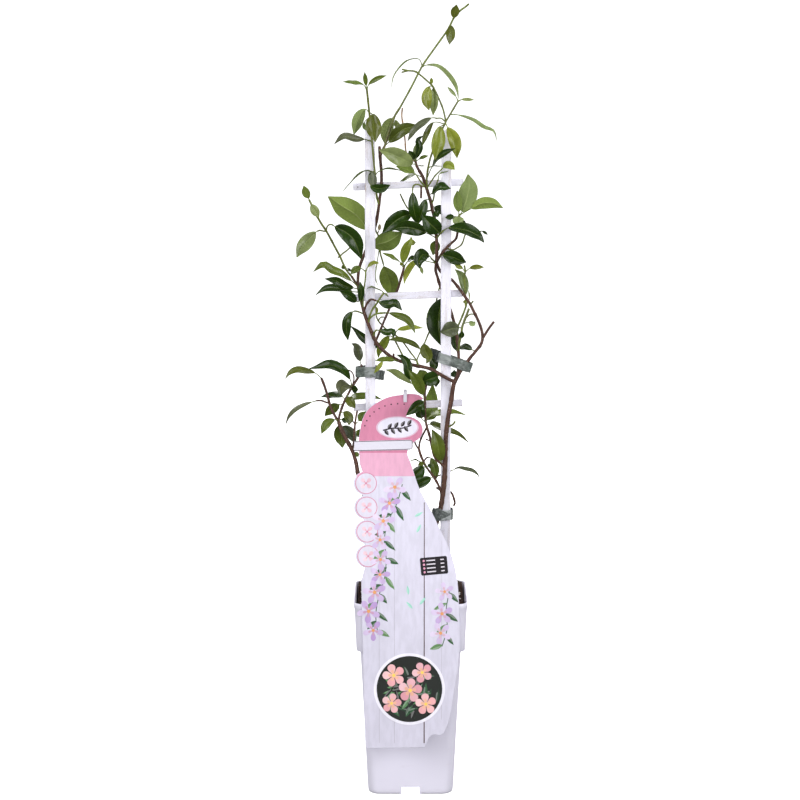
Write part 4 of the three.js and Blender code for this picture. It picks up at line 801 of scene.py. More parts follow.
def bar(skin, width, depth, size, edge, number, place, irregular=0.16):
    """A bar along local z with rounded long edges and slightly uneven faces.

    place turns a local point into the frame; number tells the bars' grain apart.
    """
    signs = ((1, 1), (-1, 1), (-1, -1), (1, -1))
    corners = [Vector((x * (width / 2 - edge), y * (depth / 2 - edge), 0)) for x, y in signs]
    section = []
    for quarter, corner in enumerate(corners):
        outs = [around(math.pi / 2 * (quarter + step / 3)) * edge for step in range(4)]
        ahead = corners[(quarter + 1) % 4]
        section += [corner + out for out in outs]
        section += [corner.lerp(ahead, share) + outs[-1] for share in (0.33, 0.67)]
    marks = [0, edge * 0.4, edge, *np.linspace(edge * 2, size - edge * 2, int(size / 4))]
    marks += [size - edge, size - edge * 0.4, size]
    inward = [edge, edge * 0.35, *[0] * (len(marks) - 4), edge * 0.35, edge]
    rings, places = [], []
    for mark, drawn in zip(marks, inward):
        ring = []
        for p in section:
            spot = p - Vector((math.copysign(drawn, p.x), math.copysign(drawn, p.y), 0))
            uneven = irregular * noise.noise(Vector((p.x * 0.3, p.y * 0.3, mark / 14 + number * 31)))
            spot += spot.normalized() * (uneven - irregular * 0.6)
            ring.append(place @ Vector((spot.x, spot.y, mark - size / 2)))
            places.append((mark / 100, (p.x + p.y * 1.7) / 50, number, 0))
        rings.append(ring)
    skin.loft(rings, places=places)


def make_ladder(settings):
    """Two stiles, three rungs nailed behind them, and the nails."""
    wood = made_once(limewashed_wood, settings)
    upright = Matrix.Rotation(0, 4, "Y")
    lying = Matrix.Rotation(-RUNG_TILT, 4, "Y") @ Matrix.Rotation(math.pi / 2, 4, "Y")
    stile = (STILE_WIDTH, STILE_DEPTH, STILE_TOP - STILE_FOOT)
    rung = (RUNG_HEIGHT, RUNG_DEPTH, RUNG_LENGTH)
    middle = (STILE_TOP + STILE_FOOT) / 2
    bars = [(node, stile, (x, 0, middle), upright) for node, x in STILE_PLACES.items()]
    bars += [(node, rung, (RUNG_MIDDLE, RUNG_Y, z), lying) for node, z in RUNG_LEVELS.items()]
    for number, (node, sizes, place, turn) in enumerate(bars):
        skin = Skin()
        bar(skin, *sizes, settings.edge / MM, number, Matrix.Translation(place) @ turn)
        skin.piece("ladder_" + node, [wood], "white_wood", [node], 40)
    nails = Skin()
    for z in RUNG_LEVELS.values():
        for x in STILE_PLACES.values():
            level = z + (x - RUNG_MIDDLE) * math.tan(RUNG_TILT)
            nail_head(nails, (x + 0.6, RUNG_Y + RUNG_DEPTH / 2, level), BACK, 1.3)
    nail_head(nails, (-51, RUNG_Y - RUNG_DEPTH / 2, 588.9), FRONT, 0.8)
    nails.piece("ladder_nails", [made_once(painted_pin)], "white_wood")


def nail_head(skin, place, out, radius):
    """A low domed pin head that stands on a face."""
    side = out.orthogonal().normalized()
    profile = ((1, -0.6), (1, 0.15), (0.8, 0.38), (0.35, 0.5), (0.05, 0.52))
    skin.loft([
        circle(Vector(place) + out * h, radius * r, side, out.cross(side), 14) for r, h in profile
    ])


# ---- Ties ----

FILM_ON_WHITE = linear(192, 197, 198)

# Each tie's band and loose end: plan corners, place, width, slant in degrees, and then the share of
# the wood that shows through the band, or by how much the end narrows.
TIES = {
    "tie_left": (
        (((-14, -7.7), (-8, -8.1), (6.8, -5.6), (6.8, 5.6), (-6, 5.6), (-14.2, -1.5)),
         (-39, 0, 411.2), 10, 0, 0.34),
        (((5.6, -5.2), (8, -7.4), (10.2, -5.6), (12.4, -8.4), (13.4, -5.8)),
         (-39, 0, 409.4), 9.5, 6, 0),
    ),
    "tie_right": (
        (((-7, -5.8), (3, -6.2), (14, -9.4), (22, -13.4), (26.5, -12.2), (26.7, -7), (12.6, -0.6),
          (7.8, 5.8), (-7, 5.8)), (33, 0, 423.4), 9.6, 17, 0.42),
        (((-5.6, 5.2), (-8.4, 3.4), (-10.6, 5.8), (-13.6, 3.6), (-15.6, 5.4)),
         (33, 0, 423.4), 11.5, 17, 0),
    ),
    "tie_base": (
        (((-12.8, -12.2), (-3.4, -12), (7.2, -6.2), (7, 5.6), (-6.6, 5.6), (-13, -3.4)),
         (34, 0, 271), 10, 0, 0.9),
        (((-13.2, -12.4), (-10.5, -14), (-6, -13.2), (-3, -12.9), (0.8, -11), (4.2, -8.7)),
         (34, 0, 272), 12.5, 4, 0.8),
    ),
}


def rounded(points, i, reach, most, steps):
    """The bend round corner i of a closed outline, which starts `reach` before the corner."""
    corner, count = points[i], len(points)
    start, end = (
        corner.lerp(near, min(most, reach / (corner - near).length))
        for near in (points[i - 1], points[(i + 1) % count])
    )
    return [start.lerp(corner, k / steps).lerp(corner.lerp(end, k / steps), k / steps)
            for k in range(steps + 1)]


def plan_loop(corners, samples=9):
    """A closed plan outline with straight runs and rounded corners."""
    corners = [flat(p) for p in corners]
    bends = [rounded(corners, i, 1.6, 0.24, 4) for i in range(len(corners))]
    points = []
    for bend, following in zip(bends, bends[1:] + bends[:1]):
        points += bend
        points += [bend[-1].lerp(following[0], k / samples) for k in range(1, samples)]
    return points


def ribbon(skin, line, closed, width, thickness, place, tint, seed, crease=0.45, sheer=0, taper=0):
    """A strip of film on its edge along a plan line, creased outwards and never inwards.

    sheer is how much of the white stile shows through it, taper how much narrower it ends.
    """
    rows, total = 12, len(line)
    rings, places, tints = [], [], []
    for i, (at, out) in enumerate(zip(line, outward(line, closed))):
        outer, inner = [], []
        backed = 1 - smoothstep(4.4, 6.4, abs(at.x)) if at.y < 0 else 0
        wide = width * (1 - taper * smoothstep(0.25, 1, i / total))
        for row in range(rows + 1):
            share = row / rows - 0.5
            edge = abs(share * 2) ** 6
            spot = Vector((at.x * 0.35, at.y * 0.35, share * wide * 0.22 + seed))
            fold = abs(noise.noise(spot * 2.2)) + 0.5 * abs(noise.noise(spot * 5.1))
            lift = crease * (fold + 0.5 * noise.noise(spot))
            ripple = 0.35 * noise.noise(Vector((at.x * 0.5, at.y * 0.5, seed + share)))
            z = share * wide + ripple * abs(share) * 2
            outer.append(place @ Vector((*(at + out * (lift - 0.15 * edge)).xy, z)))
            inner.append(place @ Vector((*(at + out * (lift - thickness)).xy, z)))
        rings.append(outer[::-1] + inner)
        across = [(i / total, row / rows, seed / 10, 0) for row in range(rows + 1)]
        places += across[::-1] + across
        haze = 0.5 + 0.5 * noise.noise(Vector((at.x / 5, at.y / 5, seed + 9)))
        shown = blend(blend(tint, FILM_ON_WHITE, 0.22 * haze), FILM_ON_WHITE, sheer * backed)
        tints += [shown] * (2 * rows + 2)
    skin.loft(rings, tints, places, closed=closed)


def outward(line, closed):
    """The side of each point of a plan line that looks away on its right hand."""
    found = []
    for i in range(len(line)):
        before = line[i - 1] if closed or i else line[i]
        after = line[(i + 1) % len(line)] if closed or i + 1 < len(line) else line[i]
        along = (after - before).normalized()
        found.append(Vector((along.y, -along.x, 0)))
    return found


def tilted(spot, degrees):
    return Matrix.Translation(spot) @ Matrix.Rotation(math.radians(degrees), 4, "Y")


def make_ties(settings):
    """Three bands of thin film, each with a crumpled loose end."""
    thickness, tint = settings.tape_thickness / MM, tuple(settings.tape)
    shaded = blend(tint, (0, 0, 0), 0.4)
    for seed, (node, (band, tail)) in enumerate(TIES.items(), 3):
        skin = Skin()
        corners, spot, width, slant, sheer = band
        ribbon(skin, plan_loop(corners), True, width, thickness, tilted(spot, slant), tint, seed,
               sheer=sheer)
        corners, spot, width, slant, taper = tail
        ribbon(skin, smooth_run(corners, 9), False, width, thickness * 0.8, tilted(spot, slant),
               shaded, seed + 5, 1.1, 0.1, taper)
        skin.piece(f"film_{node}", [made_once(stretch_tape)], "tie_tape", [node], 60)


# ---- Label ----

# The card's outline, written as the plant's points are, (x, z), in smooth runs.
CARD_BULGES = [(-44, 301), (-43.5, 277), (-43, 253), (-42, 228.5)]
BULGE_RADIUS = 11.8
CARD_LEFT_FOOT = [(-44.7, 34.5), (-48.3, 204)]
CARD_HEAD = [
    (-49.5, 320), (-50.5, 343), (-49.5, 351), (-48, 360), (-45, 368), (-41, 374), (-35, 379),
    (-30, 382), (-24, 385), (-17, 387), (-10, 388), (-4, 389), (3, 389), (8, 388), (12.5, 384.5),
]
CARD_NOTCH = [(12.5, 384.5), (5, 378), (0, 374), (-4.5, 367)]
CARD_RIGHT = [
    (-4.5, 367), (0, 366.5), (4, 365), (8, 362.5), (11, 358), (12, 354), (11, 349), (9, 345.5),
    (3, 341), (-3, 332), (1, 319), (8.5, 296), (20, 274), (28.5, 256), (39.3, 232), (45.6, 206),
    (47.8, 175), (48.4, 134), (44, 99), (37.2, 59.5), (31, 48.6), (21, 48), (14, 35.6),
]
STRIP = [(-55, 332.5), (0, 334), (2.2, 336), (2.2, 342), (0.5, 344), (-55, 342.5)]
CLIP_PROFILE = [
    (-7.1, 382), (-6.2, 390.4), (1, 390.4), (9.75, 383), (10.1, 374.5), (11.2, 374.5),
    (10.6, 392), (-7.6, 392), (-8.4, 382),
]
CLIP_X = (-7, -3.6)

# A printed petal's half width, as a share, along its length.
PETAL = ((0.04, 0.16), (0.25, 0.42), (0.48, 0.84), (0.68, 1), (0.84, 0.84), (0.95, 0.48))


def on_card(point):
    """Where the line of sight through (x, z) meets the leaning card: u across it, v up it."""
    x, z = point
    slope = math.tan(CARD_LEAN)
    reach = (-EYE.y + CARD_TOP_Y - slope * (CARD_TOP_Z - EYE.z)) / (-EYE.y - slope * (z - EYE.z))
    height = EYE.z + (z - EYE.z) * reach
    return Vector((EYE.x + (x - EYE.x) * reach, (height - CARD_TOP_Z) / math.cos(CARD_LEAN), 0))


def smooth_run(points, samples=5):
    return [Vector(p) for p in Path([flat(p) for p in points], samples).points]


def card_outline():
    """The card's edge, anticlockwise seen from the front."""
    edge = [flat(p) for p in CARD_LEFT_FOOT]
    for bulge in reversed(CARD_BULGES):
        turns = [math.radians(75 - 150 * step / 14) for step in range(15)]
        edge += [flat(bulge) - around(turn) * BULGE_RADIUS for turn in turns]
    edge += smooth_run(CARD_HEAD)[:-1] + smooth_run(CARD_NOTCH)[:-1] + smooth_run(CARD_RIGHT)
    return [on_card(p.xy) for p in reversed(edge)]


def inset_outline(outline, amount):
    """An anticlockwise outline drawn in by an amount."""
    made = []
    for i, p in enumerate(outline):
        along = (outline[(i + 1) % len(outline)] - outline[i - 1]).normalized()
        made.append(p + Vector((-along.y, along.x, 0)) * amount)
    return made


def slab(skin, outline, near, far, tint=(1, 1, 1), rim=0):
    """A thin closed board in the card's plane, from near to far in front of its middle.

    outline runs anticlockwise seen from the front; rim rounds both edges by that much.
    """
    turn = Matrix.Rotation(math.pi / 2 - CARD_LEAN, 4, "X")
    space = Matrix.Translation((0, CARD_TOP_Y, CARD_TOP_Z)) @ turn
    levels = [(near, rim), (near + rim, 0), (far - rim, 0), (far, rim)] if rim else [(near, 0), (far, 0)]
    skin.loft([
        [space @ Vector((p.x, p.y, height)) for p in inset_outline(outline, inset)]
        for height, inset in levels
    ], tint)


class Print(Skin):
    """Flat fields of ink on the card, each a hair thick and a hair above the last."""

    def field(self, points, tint, lift=0):
        """A field with the outline of card points (u, v), anticlockwise."""
        near = CARD_THICKNESS / 2 - 0.02 + lift * INK
        slab(self, [flat(p) for p in points], near, near + INK + 0.02, tint)

    def disc(self, centre, radius, tint, lift=0, sides=28, stretch=1):
        across, up = Vector((stretch, 0, 0)), Vector((0, 1, 0))
        self.field(circle(centre, radius, across, up, sides), tint, lift)

    def ring(self, centre, radius, width, tint, lift=0, sides=32):
        """A ring, as two half bands that meet."""
        half = sides // 2
        for start in (0, math.pi):
            outs = [around(start + math.pi * i / half) for i in range(half + 1)]
            outer = [centre + out * radius for out in outs]
            inner = [centre + out * (radius - width) for out in outs]
            self.field(outer + inner[::-1], tint, lift)

    def petal(self, foot, tip, width, tint, lift):
        """A round-tipped petal, narrow at its foot."""
        right, left = edges(foot, tip, width, PETAL)
        self.field([*right, tip, *left], tint, lift)

    def petal_flower(self, centre, radius, tint, heart, lift=0, petals=5, turn=0, plump=0.6):
        """A plain flower of round petals, each with a deeper foot, about a small heart."""
        width, deep_tint = plump * radius, blend(tint, heart, 0.3)
        for i in range(petals):
            out = around(turn + math.tau * i / petals) * radius
            tone = blend(tint, WHITE, 0.12 * (i % 3))
            self.petal(centre, centre + out, width, tone, lift + 0.2 * (i % 2))
            self.petal(centre, centre + out * 0.5, width * 0.4, deep_tint, lift + 0.45)
        self.disc(centre, radius * 0.15, heart, lift + 0.9, 10)

    def leaf_shape(self, foot, tip, width, tint, lift=0):
        """A plain pointed leaf from foot to tip, one half of it lighter."""
        shares = [i / 8 for i in range(1, 8)]
        swell = [(share, math.sin(math.pi * share**0.85)) for share in shares]
        right, left = edges(foot, tip, width, swell)
        self.field([foot, *right, tip, *left], tint, lift)
        rib = edges(foot, tip, width, [(share, 0.12) for share in shares[:-1]])[1]
        lit = edges(foot, tip, width, [(s, 0.9 * math.sin(math.pi * s)) for s in shares[:-1]])[1]
        self.field(rib[::-1] + lit, blend(tint, WHITE, 0.14), lift + 0.12)

    def stroke(self, points, width, tint, lift=0):
        """A line of one width through points."""
        line = smooth_run(points, 6)
        outs = [out * width / 2 for out in outward(line, False)]
        left = [p - out for p, out in zip(line, outs)]
        self.field([p + out for p, out in zip(line, outs)] + left[::-1], tint, lift)


def edges(foot, tip, width, shares):
    """A petal's or leaf's edges, up its right side and down its left, by (length, width) shares."""
    way = (tip - foot).normalized()
    half = Vector((-way.y, way.x, 0)) * width / 2
    right = [foot.lerp(tip, along) - half * wide for along, wide in shares]
    left = [foot.lerp(tip, along) + half * wide for along, wide in shares]
    return right, left[::-1]


def clip_outline(outline, keep):
    """The part of an outline where keep(point) is at least 0, which keep measures linearly."""
    kept = []
    for p, q in zip(outline, outline[1:] + outline[:1]):
        here, there = keep(p), keep(q)
        if here >= 0:
            kept.append(p)
        if (here >= 0) != (there >= 0):
            kept.append(p.lerp(q, here / (here - there)))
    return kept


def print_head(ink, head):
    """The head's badge: an oval with a sprig, and a ring of dots round the head's curve."""
    white, dark = linear(214, 211, 226), linear(44, 36, 44)
    centre = on_card((-12.8, 356))
    ink.disc(centre, 10.8, blend(head, white, 0.55), 1, 44, 1.9)
    ink.disc(centre, 9.8, white, 2, 44, 1.94)
    twig = [centre + flat(p) for p in ((-14, -2.8), (-5, -0.8), (5, -0.6), (13.5, 2.2))]
    ink.stroke(twig, 1.3, dark, 3)
    for i in range(8):
        foot = twig[0].lerp(twig[-1], 0.06 + 0.115 * i) + flat((0, 0.4))
        ink.leaf_shape(foot, foot + flat((3.8, 5.6 if i % 2 else -5.6)), 3.5, dark, 3)
    for i in range(9):
        out = around(math.radians(168 - 11 * i))
        ink.disc(on_card((-12, 352)) + flat((33 * out.x, 27 * out.y)), 0.75, dark, 1, 8)


def print_garland(ink, blossom, route, leaf_tints, seed, size):
    """A climbing spray of lilac blossoms and green leaves along a curve."""
    rng = random.Random(seed)
    path = Path([on_card(p) for p in route])
    ink.stroke([path.at(i / 8) for i in range(9)], 0.8, leaf_tints[0], 0.3)
    count = int(path.length / (0.72 * size))
    for i in range(count):
        share = 0.03 + 0.94 * i / (count - 1)
        at, along = path.at(share), path.heading(share)
        out = Vector((along.y, -along.x, 0)) * (1 if i % 2 else -1)
        tip = at + (out * 0.8 + along * 0.6) * rng.uniform(0.9, 1.25) * size * 1.15
        ink.leaf_shape(at, tip, rng.uniform(0.36, 0.46) * size, leaf_tints[i % len(leaf_tints)], 0.6)
        if i % 2 == 0:
            spot = at - out * rng.uniform(0.35, 0.6) * size
            tint = blend(blossom, WHITE, rng.uniform(0, 0.25))
            ink.petal_flower(spot, rng.uniform(0.85, 1.05) * size, tint, linear(214, 150, 96),
                             2 + 0.3 * (i % 5), turn=rng.uniform(0, 1), plump=0.5)


def print_picture(ink, head, centre, radius):
    """A round picture in a white border: pink flowers among dark leaves."""
    rng = random.Random(8)
    ink.disc(centre, radius, linear(232, 229, 241), 1, 56)
    ink.disc(centre, radius * 0.92, linear(16, 22, 17), 2, 56)
    greens = (linear(24, 52, 32), linear(44, 88, 54), linear(84, 132, 84), linear(12, 16, 12))
    for i in range(64):
        angle, reach = rng.uniform(0, math.tau), radius * 0.86 * math.sqrt(rng.uniform(0.01, 1))
        foot = centre + around(angle) * reach
        tip = foot + around(angle + rng.uniform(1.4, 3.6)) * rng.uniform(0.3, 0.55) * radius
        if (tip - centre).length < radius * 0.88:
            ink.leaf_shape(foot, tip, rng.uniform(2.6, 4.8), greens[i % 4], 3 + 0.15 * (i % 4))
    spots = ((-0.44, 0.38, 0.32), (0.36, 0.46, 0.29), (0.02, -0.04, 0.34), (-0.5, -0.4, 0.28),
             (0.46, -0.42, 0.3))
    for i, (x, y, size) in enumerate(spots):
        tint = blend(head, linear(255, 196, 186), 0.3 + 0.25 * rng.random())
        ink.petal_flower(centre + flat((x, y)) * radius, size * radius, tint,
                         linear(244, 206, 96), 4.4 + 0.35 * i, turn=rng.uniform(0, 1), plump=0.72)


def print_tag(ink, centre, turn):
    """A small dark board with rows of dots and light bars."""

    def put(points):
        return [centre + Matrix.Rotation(turn, 3, "Z") @ flat(p) for p in points]

    board = [(-12, -8.5), (12, -8.5), (13, -7.5), (13, 7.5), (12, 8.5), (-12, 8.5), (-13, 7.5),
             (-13, -7.5)]
    ink.field(put(board), linear(24, 19, 26), 1)
    for row in range(4):
        level = 5.4 - 3.6 * row
        ink.disc(put([(-9.5, level)])[0], 1.1, linear(214, 150, 176), 2, 10)
        low, high = level - 0.55, level + 0.55
        for left, right in ((-7, 1.5), (6.5, 10)):
            corners = [(left, low), (right, low), (right, high), (left, high)]
            ink.field(put(corners), linear(208, 202, 212), 2)


def print_card(outline, settings):
    """The card's print: plain fields of colour, boards, rings, and sprays of simple flowers."""
    ink = Print()
    head, blossom, board = tuple(settings.head), tuple(settings.blossom), tuple(settings.board)
    rose = blend(head, linear(252, 228, 252), 0.26)
    moss, fern, mint = linear(48, 84, 52), linear(92, 130, 82), linear(122, 205, 176)
    edge = inset_outline(outline, 0.35)
    band_top, band_foot = on_card((0, 331)).y, on_card((0, 308)).y
    ink.field(clip_outline(edge, lambda p: p.y - band_top), head)
    middle = clip_outline(edge, lambda p: p.y - band_foot)
    ink.field(clip_outline(middle, lambda p: band_top - p.y), rose)
    print_head(ink, head)

    seams = ((-31, 40, 300, 0.5, 0.25), (-16, 40, 302, 0.35, 0.4), (13, 40, 282, 1.1, 0.95),
             (30.5, 64, 244, 0.4, 0.3))
    for x, foot, top, width, tone in seams:
        low, high, wide = on_card((x, foot)), on_card((x, top)), flat((width, 0))
        corners = [low, low + wide, high + wide * 0.7, high]
        ink.field(corners, blend(board, linear(70, 46, 44), tone))

    for x, z in CARD_BULGES:
        centre = on_card((x + 0.6, z))
        ink.disc(centre, 10.4, linear(208, 203, 218), 0.5, 40)
        ink.ring(centre, 10.4, 0.7, head, 1.2, 40)
        ink.petal_flower(centre, 6.2, blend(head, WHITE, 0.3), head, 1.2, 4, math.pi / 4)

    route = ((-8, 300), (-13, 282), (-22, 262), (-26, 240), (-23, 218), (-29, 196), (-34, 174),
             (-32, 150))
    print_garland(ink, blossom, route, (moss, fern, moss), 5, 11.5)
    print_garland(ink, blossom, ((38, 194), (35, 174), (36, 156), (31, 138)), (moss, fern), 9, 11)
    for x, z, way in ((4, 268, 0.5), (6, 252, 1.1), (2, 176, 2.3), (-2, 190, 1.7), (9, 180, 0.9)):
        foot = on_card((x, z))
        ink.leaf_shape(foot, foot + around(way) * 9, 2.6, blend(mint, board, 0.25), 0.4)
    print_picture(ink, head, on_card((-1, 95)), 34)
    print_tag(ink, on_card((23, 219)), math.radians(5))
    ink.piece("card_print", [made_once(printed_ink)], "printed_card", smooth=40)


def make_label(settings):
    """The die-cut card with its print, the paper strip across it and the clip on the top rung."""
    laminate, stock = made_once(printed_ink), made_once(white_stock, settings)
    outline, half = card_outline(), CARD_THICKNESS / 2
    card, strip, border, clip = Skin(), Skin(), Skin(), Skin()
    slab(card, outline, -half, half, tuple(settings.board), 0.18)
    card.piece("care_card", [laminate], "printed_card", ["label_card"], 40)
    print_card(outline, settings)

    near = half + STRIP_GAP
    top = near + STRIP_THICKNESS
    corners = [on_card(p) for p in STRIP]
    sides = list(zip(corners, corners[1:] + corners[:1]))
    slab(strip, [p.lerp(q, k / 8) for p, q in sides for k in range(8)], near, top, rim=0.12)
    strip.piece("paper_strip", [stock], "paper_strip", ["label_strip"], 40)
    inner, outer = inset_outline(corners, 0.9), inset_outline(corners, 0.3)
    for side in zip(outer, outer[1:] + outer[:1], inner[1:] + inner[:1], inner):
        slab(border, side, top - 0.05, top + INK, linear(70, 64, 72))
    border.piece("strip_border", [laminate], "paper_strip", smooth=40)

    low, high = CLIP_X
    profile = [flat(p) for p in CLIP_PROFILE]
    profile = [p for i in range(len(profile)) for p in rounded(profile, i, 0.35, 0.4, 2)]
    clip.loft([
        [Vector((x, p.x, p.y)) for p in inset_outline(profile, inset)]
        for x, inset in ((low, 0.35), (low + 0.1, 0.1), (low + 0.35, 0), (high - 0.35, 0),
                         (high - 0.1, 0.1), (high, 0.35))
    ])
    clip.piece("label_hook", [stock], "clip_plastic", ["label_clip"], 40)


# ---- The plant ----


def deep(points):
    """The written points, where one without a depth keeps the depth of the one before."""
    full = []
    for x, z, *depth in points:
        full.append((x, z, *(depth or full[-1][2:])))
    return full


def stem(thick, *points):
    return thick, deep(points)


def leaf(width, tone, *rest):
    """A leaf faces front, unless a direction stands before its points."""
    face, *points = rest if isinstance(rest[0], Vector) else (FRONT, *rest)
    return width, tone, face, deep(points)


PLAN = {}


def plan(node, *parts):
    """Notes down the stems and then the leaves that make up a node."""
    PLAN[node] = parts


